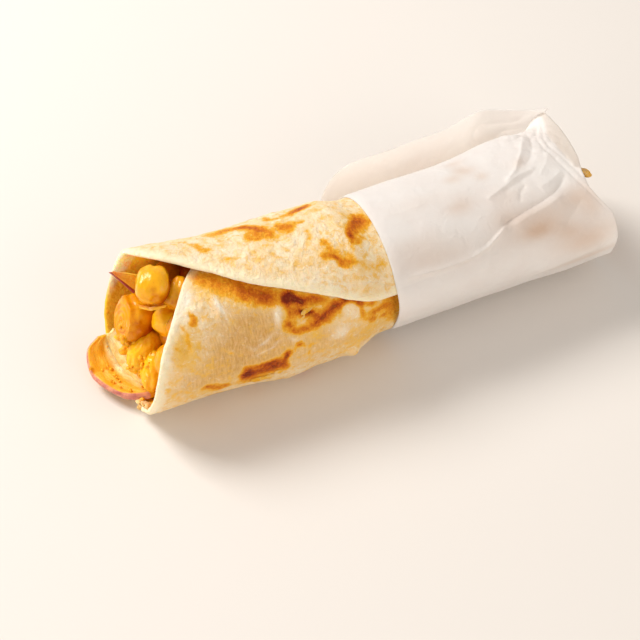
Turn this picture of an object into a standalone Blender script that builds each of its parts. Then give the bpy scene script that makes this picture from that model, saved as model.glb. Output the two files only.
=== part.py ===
"""Kathi roll: a round paratha rolled round spiced chickpeas, in a paper sleeve.

The roll lies along X on z = 0. Its open end, where the filling shows, is at -X. The paper
sleeve covers the half at +X, and the free edge of the bread runs along the -Y side.
A place on the bread is (u, v): u runs along the roll and v round it, both measured on the
flat bread. Angles round the roll are 0 at the back, +Y, and 90 degrees at the top.
"""
import math
import random

import bmesh
import bpy
import numpy as np
from mathutils import Euler, Matrix, Vector

MM = 0.001
FULL_TURN = 2.0 * math.pi
OBJECT_NAME = "kathi_roll"
SHARP_ANGLE = math.radians(40.0)
SOLVING_ROUNDS = 6

# Middle of the whole object's footprint, seen from the roll's axis
FOOTPRINT_MIDDLE = (-0.9 * MM, 6.5 * MM)

# Bread: one paratha, wound about a turn and a third
BREAD_THICKNESS = 2.3 * MM
BREAD_RADIUS = 23.3 * MM  # middle of the bread where v = 0
BREAD_PITCH = 3.1 * MM  # growth of that radius in one turn
BREAD_START = math.radians(-78.0)  # angle round the roll where v = 0
BREAD_WIDE = 1.03  # the round section sags a little under its weight
BREAD_TALL = 0.98
BREAD_CELLS = (24, 50)  # mesh cells along and round the roll
AXIS_HEIGHT = 23.2 * MM
BREAD_RIM = (  # the flat bread's outline as (u, v) in millimetres
    (-83.5, 10), (-82.5, -8), (-81.5, -26), (-80.5, -48), (-74, -60), (-60, -77), (-37, -92),
    (0, -99), (40, -94), (66, -84), (78, -66), (81.5, -35), (82, 0), (81.5, 38), (79.5, 66),
    (68, 84), (48, 93), (8, 100), (-8, 99), (-29, 89.5), (-48, 79.5), (-62.5, 69), (-75, 59),
    (-76.5, 49), (-77.5, 39), (-80.5, 27), (-82.5, 18),
)
RIM_STEPS = 24  # places on the smooth rim between two of these
OPEN_END = -82.0 * MM

# Flare: the open end's upper lip lifts away from the filling
FLARE = 3.6 * MM
FLARE_FROM = -45.0 * MM
FLARE_ANGLE = math.radians(62.0)
FLARE_SPREAD = math.radians(38.0)

# Belly: the underside bulges towards the near side before the sleeve
BELLY = 2.6 * MM
BELLY_PLACE = (-30.0 * MM, math.radians(-136.0))
BELLY_SPREAD = (19.0 * MM, math.radians(34.0))

# Sleeve: greaseproof paper, tight at its left end and loose at its right end
PAPER_THICKNESS = 0.5 * MM
PAPER_GAP = 0.42 * MM
PAPER_CELLS = (14, 50)  # mesh cells along and round the roll
SQUEEZE = 2.1 * MM  # how far the sleeve presses the bread in
SQUEEZE_SPAN = (-11.0 * MM, -1.0 * MM)
FAR_SQUEEZE = 0.7 * MM  # and how much more towards its right end
FAR_SQUEEZE_SPAN = (15.0 * MM, 60.0 * MM)
SLEEVE_DROP = 0.5 * MM  # the squeezed half of the roll lies this much lower
SLEEVE_SHIFT = 1.8 * MM  # and this much further back
SLEEVE_SHIFT_SPAN = (-30.0 * MM, 45.0 * MM)
END_LIFT = 1.4 * MM  # the roll's right end rises a little
END_LIFT_SPAN = (68.0 * MM, 92.0 * MM)
PAPER_START = math.radians(14.0)  # angle of the inner edge, behind the loose flap
PAPER_STEP = (math.radians(160.0), math.radians(205.0))  # where it drops off the bread's edge
PAPER_LEAVE = math.radians(314.0)  # angle where the flap leaves the roll
PAPER_WRAP_SHARE = 0.74  # share of the cells round the roll that lie on it
# u of the sleeve's left and right edge, as (angle in degrees, u in millimetres)
PAPER_LEFT = ((14, 1.5), (150, 1.5), (227, 3.5), (314, 4.0))
PAPER_RIGHT = ((14, 78), (45, 80.5), (97, 78.5), (110, 77.2), (124, 77.4), (136, 79.5),
               (150, 83), (190, 86), (227, 89), (314, 89))
# The loose flap's section beyond the roll as (y, z) in millimetres, bottom to top
FLAP_SECTION = ((27.5, 11.5), (35.0, 18.5), (37.6, 26.0), (37.2, 34.0), (36.2, 42.0))
FLAP_FOLDED_SECTION = ((26.5, 12.0), (30.5, 20.5), (30.5, 29.5), (27.5, 38.0), (23.4, 46.0))
FLAP_FOLD_SPAN = (60.0 * MM, 82.0 * MM)
# Height of the flap's free edge along it, as (u, z) in millimetres
FLAP_TOP = ((2, 20), (4, 24), (8.5, 31), (13, 33.8), (32, 35), (50, 37), (62, 41), (73, 43),
            (79, 45), (82, 43))
FLAP_EDGES = (3.0, 89.0, 81.5)  # u of its left edge, its lower right and upper right corner
FLAP_CORNER_SPAN = (0.3, 1.0)  # share up the flap over which its right edge leans in
SLACK = 4.2 * MM  # how far the paper stands off the bread near its right end
SLACK_PLACE = (60.0 * MM, math.radians(54.0))
SLACK_SPREAD = (17.0 * MM, math.radians(40.0))
CORNER_SLACK = 4.6 * MM  # and at its upper right corner
CORNER_PLACE = (80.5 * MM, math.radians(40.0))
CORNER_SPREAD = (6.5 * MM, math.radians(32.0))

# Filling: the core that runs through the roll
CORE_RADIUS = 18.6 * MM
CORE_SLEEVE_RADIUS = 15.8 * MM
CORE_ENDS = (-66.0 * MM, 66.0 * MM)
CORE_NARROWS = (-35.0 * MM, -12.0 * MM)
CORE_CELLS = (9, 24)
CORE_SAG = 0.6 * MM  # the core's middle above the roll's axis
CORE_SHOULDER = 0.55  # share of a unit ball's radius at which the core is full
CORE_END_CROWDING = 1.6  # how strongly its rings gather at its ends

# Chickpeas at the open end: middle x, y, z, length and width in millimetres, turn in degrees
SHOWN_CHICKPEAS = (
    (-72.0, 1.5, 42.3, 13.0, 11.2, 80), (-77.2, 6.8, 25.2, 14.4, 13.6, 60),
    (-63.5, 0.8, 37.0, 12.0, 10.6, 20), (-69.4, -1.8, 29.2, 12.8, 11.4, 45),
    (-76.6, -4.0, 20.0, 14.0, 11.6, 30), (-74.8, -5.6, 12.8, 11.4, 10.4, 75),
)
TUCKED_CHICKPEAS = (
    (-70.5, 12.2, 35.0, 12.6, 11.4, 15), (-65.5, 8.0, 29.5, 12.6, 11.8, 50),
    (-66.5, -10.0, 32.0, 12.2, 11.4, 70), (-71.5, -13.2, 23.6, 12.6, 11.6, 10),
    (-72.0, -11.2, 15.2, 11.8, 11.0, 35), (-73.5, 12.2, 17.0, 12.4, 11.2, 65),
    (-68.6, 3.6, 13.0, 12.4, 11.8, 25), (-66.0, -1.5, 21.5, 13.0, 12.0, 40),
)
SHOWN_SUBDIVISIONS = 3
TUCKED_SUBDIVISIONS = 2
TURN_SHARES = (2.0, -1.0, 3.0)  # how far a chickpea's turn goes about X, Y and Z
BEAK = 0.16  # its point, as a share of its radius
BEAK_SHARPNESS = 6
CLEFT = 0.05  # depth of the groove that runs to the point, as a share of the radius
CLEFT_SPREAD = 0.25

# Chickpeas at the sleeved end, in rings round the axis
FAR_CHICKPEA_RINGS = ((1, 0.0), (7, 10.4))  # number and ring radius in millimetres
FAR_CHICKPEA_X = (65.5 * MM, 70.0 * MM)
FAR_CHICKPEA_SIZE = (11.6 * MM, 10.4 * MM)  # length and width
FAR_CHICKPEA_SIZES = (0.92, 1.04)
FAR_CHICKPEA_STRAY = 0.12  # share of a chickpea's arc in the ring
SEED = 11

# Onion: a sliver of red onion on the lower lip, a thinner one under the upper lip
ONION_THICKNESS = 3.0 * MM
ONION_CELLS = (18, 5)
ONION_GAP = 0.45 * MM
ONION_OUTER = ((-85.4, 15.4), (-89.6, 13.4), (-90.8, 6.8), (-88.8, 0.0), (-84.4, -6.4),
               (-78.5, -10.2))  # x, y of its skin edge
ONION_WIDTH = 10.5 * MM
ONION_TIP_WIDTH = 3.5 * MM
ONION_FULLNESS = 0.7  # how soon it widens from its tips
WEDGE_THICKNESS = 1.6 * MM
WEDGE_CELLS = (10, 5)
WEDGE_SKIN_EDGE = ((-82.4, 11.0, 44.6), (-79.8, 9.6, 40.6), (-76.6, 8.0, 37.0))
WEDGE_INNER_EDGE = ((-80.6, 12.0, 44.8), (-76.6, 12.0, 43.4), (-73.0, 10.8, 40.8))

# Chickpea skin: a thin curled scrap between two chickpeas
SKIN_THICKNESS = 0.6 * MM
SKIN_CELLS = (10, 4)
SKIN_UPPER_EDGE = ((-77.0, 2.4, 36.2), (-74.6, -3.4, 37.6), (-70.2, -6.6, 40.8))
SKIN_LOWER_EDGE = ((-76.4, 2.2, 34.8), (-75.2, -3.8, 35.6), (-69.9, -6.4, 39.8))

MATERIALS = {  # base colour and roughness
    "bread": ((0.83, 0.62, 0.36), 0.62),
    "filling": ((0.80, 0.38, 0.05), 0.34),
    "onion": ((0.86, 0.58, 0.42), 0.35),
    "chickpea_skin": ((0.84, 0.47, 0.10), 0.38),
    "paper": ((0.90, 0.87, 0.83), 0.58),
}


def smooth_step(low, high, value):
    """0 before low, 1 after high, with a smooth rise between them."""
    share = min(max((value - low) / (high - low), 0.0), 1.0)
    return share * share * (3.0 - 2.0 * share)


def bump(value, middle, spread):
    """A soft bell of height 1 at middle."""
    return math.exp(-((value - middle) / spread) ** 2)


def mix(start, end, share):
    return start + (end - start) * share


def shares(s, t):
    """A place on a square from -1 to 1 as shares from 0 to 1."""
    return (s + 1.0) / 2.0, (t + 1.0) / 2.0


def curve_point(points, share):
    """A place on the smooth open curve through the points, share 0 to 1."""
    rows = np.array(points, float)
    place = min(max(share, 0.0), 1.0) * (len(rows) - 1)
    index = min(int(place), len(rows) - 2)
    before = rows[index - 1] if index else 2 * rows[0] - rows[1]
    after = rows[index + 2] if index + 2 < len(rows) else 2 * rows[-1] - rows[-2]
    return catmull_rom(before, rows[index], rows[index + 1], after, place - index)


def catmull_rom(before, start, end, after, t):
    return 0.5 * (2 * start + (end - before) * t
                  + (2 * before - 5 * start + 4 * end - after) * t ** 2
                  + (3 * start - before - 3 * end + after) * t ** 3)


def rim_distance_table():
    """Angle and distance of the flat bread's rim, seen from u = v = 0."""
    rim = np.array(BREAD_RIM, float) * MM
    count = len(rim)
    smooth = [catmull_rom(rim[i - 1], rim[i], rim[(i + 1) % count], rim[(i + 2) % count], t)
              for i in range(count) for t in np.arange(RIM_STEPS) / RIM_STEPS]
    u, v = np.array(smooth).T
    order = np.argsort(np.arctan2(v, u))
    return np.arctan2(v, u)[order], np.hypot(u, v)[order]


RIM_TABLE = rim_distance_table()


def flat_bread(s, t):
    """The place (u, v) on the flat bread of a place on a square from -1 to 1."""
    x = s * math.sqrt(1.0 - t * t / 2.0)
    y = t * math.sqrt(1.0 - s * s / 2.0)
    angle = math.atan2(y, x)
    reach = math.hypot(x, y) * np.interp(angle, *RIM_TABLE, period=FULL_TURN)
    return reach * math.cos(angle), reach * math.sin(angle)


def spiral_radius(angle):
    """Radius of the plain spiral at an angle counted on through its turns."""
    return BREAD_RADIUS + BREAD_PITCH * (angle - BREAD_START) / FULL_TURN


def winding(v):
    """Angle round the roll and radius of the plain spiral, v along it."""
    angle = BREAD_START + v / BREAD_RADIUS
    for _ in range(SOLVING_ROUNDS):
        angle = BREAD_START + 2.0 * v / (BREAD_RADIUS + spiral_radius(angle))
    return angle, spiral_radius(angle)


def shaped_radius(u, angle, radius):
    """The spiral's radius with the open end's flare, the belly and the sleeve's squeeze."""
    flare = FLARE * smooth_step(-FLARE_FROM, -OPEN_END, -u)
    flare *= bump(angle, FLARE_ANGLE, FLARE_SPREAD)
    belly = BELLY * bump(u, BELLY_PLACE[0], BELLY_SPREAD[0])
    belly *= bump(angle, BELLY_PLACE[1], BELLY_SPREAD[1])
    squeeze = SQUEEZE * smooth_step(*SQUEEZE_SPAN, u)
    squeeze += FAR_SQUEEZE * smooth_step(*FAR_SQUEEZE_SPAN, u)
    return radius + flare + belly - squeeze


def on_section(u, angle, radius):
    """A point round the roll's sagging section."""
    height = AXIS_HEIGHT - SLEEVE_DROP * smooth_step(*SQUEEZE_SPAN, u)
    height -= FAR_SQUEEZE * smooth_step(*FAR_SQUEEZE_SPAN, u)
    height += END_LIFT * smooth_step(*END_LIFT_SPAN, u)
    shift = SLEEVE_SHIFT * smooth_step(*SLEEVE_SHIFT_SPAN, u)
    return Vector((u, shift + radius * math.cos(angle) * BREAD_WIDE,
                   height + radius * math.sin(angle) * BREAD_TALL))


def bread_floor(u):
    """Lowest height of the bread's underside: on the ground, or on the sleeve."""
    return (PAPER_THICKNESS + PAPER_GAP) * smooth_step(*SQUEEZE_SPAN, u)


def bread_point(u, v):
    """The bread's middle surface at a place on the flat bread."""
    angle, radius = winding(v)
    point = on_section(u, angle, shaped_radius(u, angle, radius))
    point.z = max(point.z, bread_floor(u) + BREAD_THICKNESS / 2.0)
    return point


def hollow_floor(x, y, clearance):
    """Height over a place inside the roll, at a clearance from the bread's inner face."""
    angle = -math.pi / 2.0
    for _ in range(SOLVING_ROUNDS):
        wall = shaped_radius(x, angle, spiral_radius(angle))
        radius = wall - BREAD_THICKNESS / 2.0 - clearance
        angle = -math.acos(min(max(y / (BREAD_WIDE * radius), -1.0), 1.0))
    return max(on_section(x, angle, radius).z, bread_floor(x) + BREAD_THICKNESS + clearance)


def sheet_object(name, cells, point_at, thickness, material):
    """A thin wall: a grid of cells bent into shape, with a thickness to both sides."""
    mesh = bpy.data.meshes.new(name)
    shell = bmesh.new()
    bmesh.ops.create_grid(shell, x_segments=cells[0], y_segments=cells[1], size=1.0)
    for vertex in shell.verts:
        vertex.co = point_at(vertex.co.x, vertex.co.y)
    shell.to_mesh(mesh)
    shell.free()
    part = place(name, mesh, material)
    wall = part.modifiers.new("Thickness", "SOLIDIFY")
    wall.thickness = thickness
    wall.offset = 0.0
    wall.use_even_offset = True


def place(name, mesh, material):
    """Put a mesh in the model with its material, its footprint's middle on the origin."""
    mesh.transform(Matrix.Translation((-FOOTPRINT_MIDDLE[0], -FOOTPRINT_MIDDLE[1], 0.0)))
    mesh.shade_smooth()
    mesh.set_sharp_from_angle(angle=SHARP_ANGLE)
    mesh.materials.clear()
    mesh.materials.append(food_material(material))
    part = bpy.data.objects.new(name, mesh)
    bpy.data.collections[OBJECT_NAME].objects.link(part)
    return part


def food_material(name):
    material = bpy.data.materials.get(name)
    if material is None:
        material = bpy.data.materials.new(name)
        material.use_nodes = True
        colour, roughness = MATERIALS[name]
        shader = material.node_tree.nodes["Principled BSDF"]
        shader.inputs["Base Color"].default_value = (*colour, 1.0)
        shader.inputs["Roughness"].default_value = roughness
        material.diffuse_color = (*colour, 1.0)
    return material


def make_bread():
    def point_at(s, t):
        return bread_point(*flat_bread(s, t))

    sheet_object("flatbread", BREAD_CELLS, point_at, BREAD_THICKNESS, "bread")


def paper_radius(u, angle):
    """Radius of the sleeve's middle surface round the bread."""
    past_edge = smooth_step(*PAPER_STEP, angle)
    wound = mix(spiral_radius(angle), spiral_radius(angle - FULL_TURN), past_edge)
    radius = shaped_radius(u, math.pi, wound)
    slack = SLACK * bump(u, SLACK_PLACE[0], SLACK_SPREAD[0])
    slack *= bump(angle, SLACK_PLACE[1], SLACK_SPREAD[1])
    corner = CORNER_SLACK * bump(u, CORNER_PLACE[0], CORNER_SPREAD[0])
    corner *= bump(angle, CORNER_PLACE[1], CORNER_SPREAD[1])
    clearance = BREAD_THICKNESS / 2.0 + PAPER_GAP + PAPER_THICKNESS / 2.0
    return radius + clearance + slack + corner


def paper_on_roll(u, angle):
    """The sleeve where it lies on the bread."""
    point = on_section(u, angle, paper_radius(u, angle))
    point.z = max(point.z, PAPER_THICKNESS / 2.0)
    return point


def edge_of_paper(stations, angle):
    """u of the sleeve's edge at an angle, from its stations in degrees and millimetres."""
    degrees, edges = zip(*stations)
    return float(np.interp(math.degrees(angle), degrees, edges)) * MM


def flap_point(share, along):
    """The loose flap behind the roll: share up its section, along its length."""
    left, lower_right, upper_right = FLAP_EDGES
    right = mix(lower_right, upper_right, smooth_step(*FLAP_CORNER_SPAN, share))
    u = mix(left, right, along) * MM
    leaves = paper_on_roll(u, PAPER_LEAVE) / MM
    loose = [(leaves.y, leaves.z), *FLAP_SECTION]
    folded = [(leaves.y, leaves.z), *FLAP_FOLDED_SECTION]
    top = np.interp(u / MM, *zip(*FLAP_TOP))
    reach = share * np.interp(top, [z for _, z in loose], np.linspace(0.0, 1.0, len(loose)))
    fold = smooth_step(*FLAP_FOLD_SPAN, u)
    y, z = mix(curve_point(loose, reach), curve_point(folded, reach), fold) * MM
    return Vector((u, y, z))


def make_paper():
    def point_at(s, t):
        along, around = shares(s, t)
        if around > PAPER_WRAP_SHARE:
            return flap_point((around - PAPER_WRAP_SHARE) / (1.0 - PAPER_WRAP_SHARE), along)
        angle = mix(PAPER_START, PAPER_LEAVE, around / PAPER_WRAP_SHARE)
        left, right = edge_of_paper(PAPER_LEFT, angle), edge_of_paper(PAPER_RIGHT, angle)
        return paper_on_roll(mix(left, right, along), angle)

    sheet_object("paper_wrap", PAPER_CELLS, point_at, PAPER_THICKNESS, "paper")


def make_core():
    """The filling's inner body: a soft-ended rod that stays clear of the bread."""
    rings, sides = CORE_CELLS
    body = bmesh.new()
    bmesh.ops.create_uvsphere(body, u_segments=sides, v_segments=rings, radius=1.0)
    half_length = (CORE_ENDS[1] - CORE_ENDS[0]) / 2.0
    middle = (CORE_ENDS[1] + CORE_ENDS[0]) / 2.0
    for vertex in body.verts:
        side, up, along = vertex.co
        reach = 1.0 - (1.0 - abs(along)) ** CORE_END_CROWDING
        x = middle + half_length * math.copysign(reach, along)
        radius = mix(CORE_RADIUS, CORE_SLEEVE_RADIUS, smooth_step(*CORE_NARROWS, x))
        radius *= smooth_step(0.0, CORE_SHOULDER, math.hypot(side, up))
        vertex.co = on_section(x, math.atan2(up, side), radius) + Vector((0.0, 0.0, CORE_SAG))
    bmesh.ops.recalc_face_normals(body, faces=body.faces)
    return mesh_from(body, "core")


def mesh_from(body, name):
    mesh = bpy.data.meshes.new(name)
    body.to_mesh(mesh)
    body.free()
    return mesh


def chickpea_mesh(middle, length, width, turn, subdivisions):
    """A chickpea: a plump egg with a small point at one end and a groove towards it."""
    pea = bmesh.new()
    bmesh.ops.create_icosphere(pea, subdivisions=subdivisions, radius=1.0)
    for vertex in pea.verts:
        pointed = max(vertex.co.x, 0.0)
        vertex.co.x *= 1.0 + BEAK * pointed ** BEAK_SHARPNESS
        if pointed > 0.0:
            vertex.co *= 1.0 - CLEFT * bump(vertex.co.y, 0.0, CLEFT_SPREAD)
    size = Matrix.Diagonal((length / 2.0, width / 2.0, width / 2.0, 1.0))
    heading = Euler([math.radians(turn * share) for share in TURN_SHARES])
    pea.transform(Matrix.Translation(middle) @ heading.to_matrix().to_4x4() @ size)
    return mesh_from(pea, "chickpea")


def far_chickpeas(draw):
    for count, ring in FAR_CHICKPEA_RINGS:
        for index in range(count):
            stray = draw.uniform(-FAR_CHICKPEA_STRAY, FAR_CHICKPEA_STRAY)
            angle = FULL_TURN * (index + stray) / count
            middle = on_section(draw.uniform(*FAR_CHICKPEA_X), angle, ring * MM)
            middle.z += CORE_SAG
            length, width = (size * draw.uniform(*FAR_CHICKPEA_SIZES)
                             for size in FAR_CHICKPEA_SIZE)
            turn = draw.uniform(0.0, 90.0)
            yield chickpea_mesh(middle, length, width, turn, TUCKED_SUBDIVISIONS)


def near_chickpeas():
    for group, subdivisions in ((SHOWN_CHICKPEAS, SHOWN_SUBDIVISIONS),
                                (TUCKED_CHICKPEAS, TUCKED_SUBDIVISIONS)):
        for x, y, z, length, width, turn in group:
            middle = Vector((x, y, z)) * MM
            yield chickpea_mesh(middle, length * MM, width * MM, turn, subdivisions)


def make_filling():
    """Chickpeas at both ends fused onto the core."""
    core = bpy.data.objects.new("core", make_core())
    bpy.context.scene.collection.objects.link(core)
    peas = bpy.data.collections.new("chickpeas")
    bpy.context.scene.collection.children.link(peas)
    for mesh in (*near_chickpeas(), *far_chickpeas(random.Random(SEED))):
        peas.objects.link(bpy.data.objects.new("chickpea", mesh))
    union = core.modifiers.new("Union", "BOOLEAN")
    union.operation = "UNION"
    union.operand_type = "COLLECTION"
    union.collection = peas
    evaluated = core.evaluated_get(bpy.context.evaluated_depsgraph_get())
    mesh = bpy.data.meshes.new_from_object(evaluated)
    for scrap in (*peas.objects, core):
        bpy.data.objects.remove(scrap)
    bpy.data.collections.remove(peas)
    place("filling", mesh, "filling")


def make_low_onion():
    """A sliver of onion lying in the lower lip, its skin edge out over the rim."""
    def point_at(s, t):
        along, across = shares(s, t)
        edge_x, edge_y = curve_point(ONION_OUTER, along) * MM
        fullness = math.sin(math.pi * along) ** ONION_FULLNESS
        x = edge_x + mix(ONION_TIP_WIDTH, ONION_WIDTH, fullness) * across
        clearance = ONION_GAP + ONION_THICKNESS / 2.0
        return Vector((x, edge_y, hollow_floor(max(x, OPEN_END), edge_y, clearance)))

    sheet_object("onion_slice_low", ONION_CELLS, point_at, ONION_THICKNESS, "onion")


def between(first_edge, second_edge):
    """Places in millimetres on the sheet between two smooth edges."""
    def point_at(s, t):
        along, across = shares(s, t)
        edges = curve_point(first_edge, along), curve_point(second_edge, along)
        return Vector(mix(*edges, across)) * MM

    return point_at


def make_high_onion():
    """A thin wedge of onion under the upper lip, its skin edge towards the opening."""
    point_at = between(WEDGE_SKIN_EDGE, WEDGE_INNER_EDGE)
    sheet_object("onion_slice_high", WEDGE_CELLS, point_at, WEDGE_THICKNESS, "onion")


def make_chickpea_skin():
    """A loose scrap of chickpea skin, curled like a petal."""
    point_at = between(SKIN_UPPER_EDGE, SKIN_LOWER_EDGE)
    sheet_object("chickpea_skin", SKIN_CELLS, point_at, SKIN_THICKNESS, "chickpea_skin")


def main():
    for old in list(bpy.data.objects):
        bpy.data.objects.remove(old)
    roll = bpy.data.collections.new(OBJECT_NAME)
    bpy.context.scene.collection.children.link(roll)
    make_bread()
    make_filling()
    make_low_onion()
    make_high_onion()
    make_chickpea_skin()
    make_paper()


main()
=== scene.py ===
"""Kathi roll: the looks of a paratha wound round spiced chickpeas, in a greaseproof paper sleeve.

Lengths are in millimetres and angles in degrees until a mesh is made. The roll lies along X,
its open end at -X. A place on the bread is (u, v): u along the roll and v round it, both on
the flat bread. Angles round the roll are 0 at the back, 90 at the top and 180 at the near side.
"""
import math
import random

import bmesh
import bpy
import numpy as np
from mathutils import Euler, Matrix, Quaternion, Vector, noise

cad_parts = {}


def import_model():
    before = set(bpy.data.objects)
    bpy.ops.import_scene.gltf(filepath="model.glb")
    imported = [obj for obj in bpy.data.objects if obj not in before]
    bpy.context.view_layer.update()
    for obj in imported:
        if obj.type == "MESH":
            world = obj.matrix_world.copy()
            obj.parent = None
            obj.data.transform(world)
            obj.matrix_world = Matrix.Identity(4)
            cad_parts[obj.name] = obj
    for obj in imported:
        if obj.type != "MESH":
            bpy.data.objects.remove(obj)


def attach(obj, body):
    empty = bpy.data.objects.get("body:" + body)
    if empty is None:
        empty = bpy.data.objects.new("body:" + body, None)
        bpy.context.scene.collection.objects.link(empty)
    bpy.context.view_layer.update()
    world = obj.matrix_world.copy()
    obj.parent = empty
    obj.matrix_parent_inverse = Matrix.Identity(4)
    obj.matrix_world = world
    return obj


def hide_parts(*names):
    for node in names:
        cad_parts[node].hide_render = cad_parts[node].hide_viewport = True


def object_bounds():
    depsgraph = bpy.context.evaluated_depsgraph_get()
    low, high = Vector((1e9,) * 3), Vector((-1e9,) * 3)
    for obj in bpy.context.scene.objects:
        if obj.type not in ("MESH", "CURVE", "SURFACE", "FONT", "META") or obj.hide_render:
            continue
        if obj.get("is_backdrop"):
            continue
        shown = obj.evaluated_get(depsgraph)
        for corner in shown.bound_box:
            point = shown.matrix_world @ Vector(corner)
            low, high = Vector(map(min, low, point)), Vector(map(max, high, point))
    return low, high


MM = 0.001
FOOTPRINT_MIDDLE = np.array([-0.9, 6.5, 0.0])

# --- shape of the roll ---------------------------------------------------------------------
BREAD_THICKNESS = 2.3
BREAD_RADIUS = 23.3
BREAD_PITCH = 3.1
BREAD_START = -78.0
BREAD_WIDE, BREAD_TALL = 1.03, 0.98
AXIS_HEIGHT = 23.2
# The flat bread's outline (u, v)
BREAD_RIM = (
    (-83.5, 10), (-82.5, -8), (-82.8, -27), (-79.6, -48), (-72.8, -60), (-59.5, -77), (-37, -92), (0, -99),
    (40, -94), (66, -84), (78, -66), (81.5, -35), (82, 0), (81.5, 38), (79.5, 66), (68, 84), (48, 93),
    (8, 100), (-8, 99), (-29, 89.5), (-48, 79.5), (-62.5, 69), (-74.2, 59), (-75.4, 49), (-77, 39),
    (-80.5, 27), (-82.5, 18),
)
RIM_LINES = np.array([0.0, 0.0018, 0.005, 0.010, 0.017])  # grid lines that crowd at the rim
FINE_UNTIL = 0.06  # where along the bread its grid gets coarser, from -1 to 1
FINE_LINES, COARSE_LINES, HALF_LINES = 150, 44, 118
RIM_ROUNDING, RIM_THINNER = 1.25, 0.12
RIM_WOBBLE = 0.5
TORN_RIM = (-166.0, 6.5)  # where the lower lip is torn: the way to it on the flat bread, its spread
OPEN_END = -82.0
FLARE, FLARE_SPAN, FLARE_PLACE = 3.6, (45.0, 82.0), (62.0, 38.0)
PAPER_THICKNESS, PAPER_GAP = 0.5, 0.42
SQUEEZE, SQUEEZE_SPAN = 2.1, (-11.0, -1.0)
FAR_SQUEEZE, FAR_SQUEEZE_SPAN = 0.7, (15.0, 60.0)
SLEEVE_DROP = 0.5
SLEEVE_SHIFT, SLEEVE_SHIFT_SPAN = 1.8, (-30.0, 45.0)
END_LIFT, END_LIFT_SPAN = 1.4, (68.0, 92.0)
SUNK_UNDER_PAPER = 0.8
# Soft hills: how far each stands out, its middle and its spread, both (u, angle) or (u, v)
BELLY = (2.6, (-30.0, -136.0), (19.0, 34.0))
LUMP = (2.1, (-13.4, -30.0), (2.6, 2.8))
HOLLOW = (-0.9, (-24.5, -27.0), (6.5, 8.0))
TORN_PATCH = (0.5, (-27.0, -53.0), (5.0, 3.2))
RUBBED_PATCH = (0.16, (-46.0, -50.0), (12.0, 9.0))
BAKED_EDGE = (0.9, (-40.0, -70.0), (26.0, 16.0))
PAPER_HILLS = ((4.2, (60.0, 54.0), (17.0, 40.0)), (4.6, (80.5, 40.0), (6.5, 32.0)),
               (1.8, (80.0, 42.0), (5.0, 12.0)))
PAPER_HOLLOW = (0.45, (58.0, 122.0), (20.0, 34.0))
CRUMPLED_PATCH = (1.0, (68.0, 62.0), (10.0, 30.0))
# Uneven surfaces: height, size and seed of each layer of noise
BREAD_ROUGH = ((0.34, 15.0, 0.0), (0.2, 6.0, 3.0), (0.12, 2.6, 9.0))
PAPER_ROUGH = ((0.22, 13.0, 0.0), (0.07, 5.0, 4.0))
FLAP_ROUGH = ((0.5, 16.0, 8.0), (0.2, 7.0, 1.0))
CORE_ROUGH = ((0.8, 5.0, 0.0), (0.3, 1.8, 0.0))
BLISTER_GRID, BLISTER_HEIGHT = 5.2, 0.3


def smooth_step(low, high, value):
    share = np.clip((value - low) / (high - low), 0.0, 1.0)
    return share * share * (3.0 - 2.0 * share)


def bump(value, middle, spread):
    return np.exp(-((value - middle) / spread) ** 2)


def hill(u, w, height, middle, spread):
    """A soft round hill on a flat sheet."""
    return height * bump(u, middle[0], spread[0]) * bump(w, middle[1], spread[1])


def mix(start, end, share):
    return start + (end - start) * share


def cos(degrees):
    return np.cos(np.radians(degrees))


def sin(degrees):
    return np.sin(np.radians(degrees))


def catmull_rom(before, start, end, after, t):
    return 0.5 * (2 * start + (end - before) * t
                  + (2 * before - 5 * start + 4 * end - after) * t ** 2
                  + (3 * start - before - 3 * end + after) * t ** 3)


def curve_points(points, share):
    """Places on the smooth open curve through the points, for an array of shares.

    The points are rows of coordinates, or such rows for each share of the array.
    """
    rows = np.array(points, float)
    rows = np.concatenate([2 * rows[:1] - rows[1:2], rows, 2 * rows[-1:] - rows[-2:-1]])
    place = np.clip(share, 0.0, 1.0) * (len(rows) - 3)
    index = np.minimum(place.astype(int), len(rows) - 4)
    own = tuple(np.indices(index.shape)) if rows.ndim > 2 else ()
    t = (place - index)[..., None]
    return catmull_rom(*(rows[(index + step, *own)] for step in range(4)), t)


def lumps(places, size, seed=0.0):
    """Smooth noise from -1 to 1 at an array of places, its features about size across."""
    rows = places.reshape(-1, 3) / size + seed
    values = [noise.noise(row) for row in rows.tolist()]
    return np.array(values).reshape(places.shape[:-1])


def rough(places, layers):
    """Layers of smooth noise added up, each with its height, size and seed."""
    return sum(height * lumps(places, size, seed) for height, size, seed in layers)


def folds(places, size, seed=0.0):
    """Sharp-crested noise, 1 along thin winding lines and lower between them."""
    return 1.0 - np.abs(lumps(places, size, seed)) * 2.0


def stations(table, value):
    return np.interp(value, *zip(*table))


def sheet_lines(rows, columns):
    """Two grids of shares from 0 to 1, one along a sheet and one across it."""
    return np.meshgrid(np.linspace(0.0, 1.0, rows), np.linspace(0.0, 1.0, columns), indexing="ij")


def flat_sheet(along, across, length, width):
    """Places on a flat sheet of that length and width, for noise to be read at."""
    return np.stack([along * length, across * width, np.zeros_like(along)], -1)


def distance_to_line(u, w, line):
    """Distance on the flat sheet to a line through the points, and the share along it."""
    best, share = np.full(u.shape, 1e9), np.zeros(u.shape)
    count = len(line) - 1
    for index, ((u0, w0), (u1, w1)) in enumerate(zip(line[:-1], line[1:])):
        du, dw = u1 - u0, w1 - w0
        t = np.clip(((u - u0) * du + (w - w0) * dw) / (du * du + dw * dw), 0.0, 1.0)
        away = np.hypot(u - u0 - t * du, w - w0 - t * dw)
        share = np.where(away < best, (index + t) / count, share)
        best = np.minimum(best, away)
    return best, share


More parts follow.
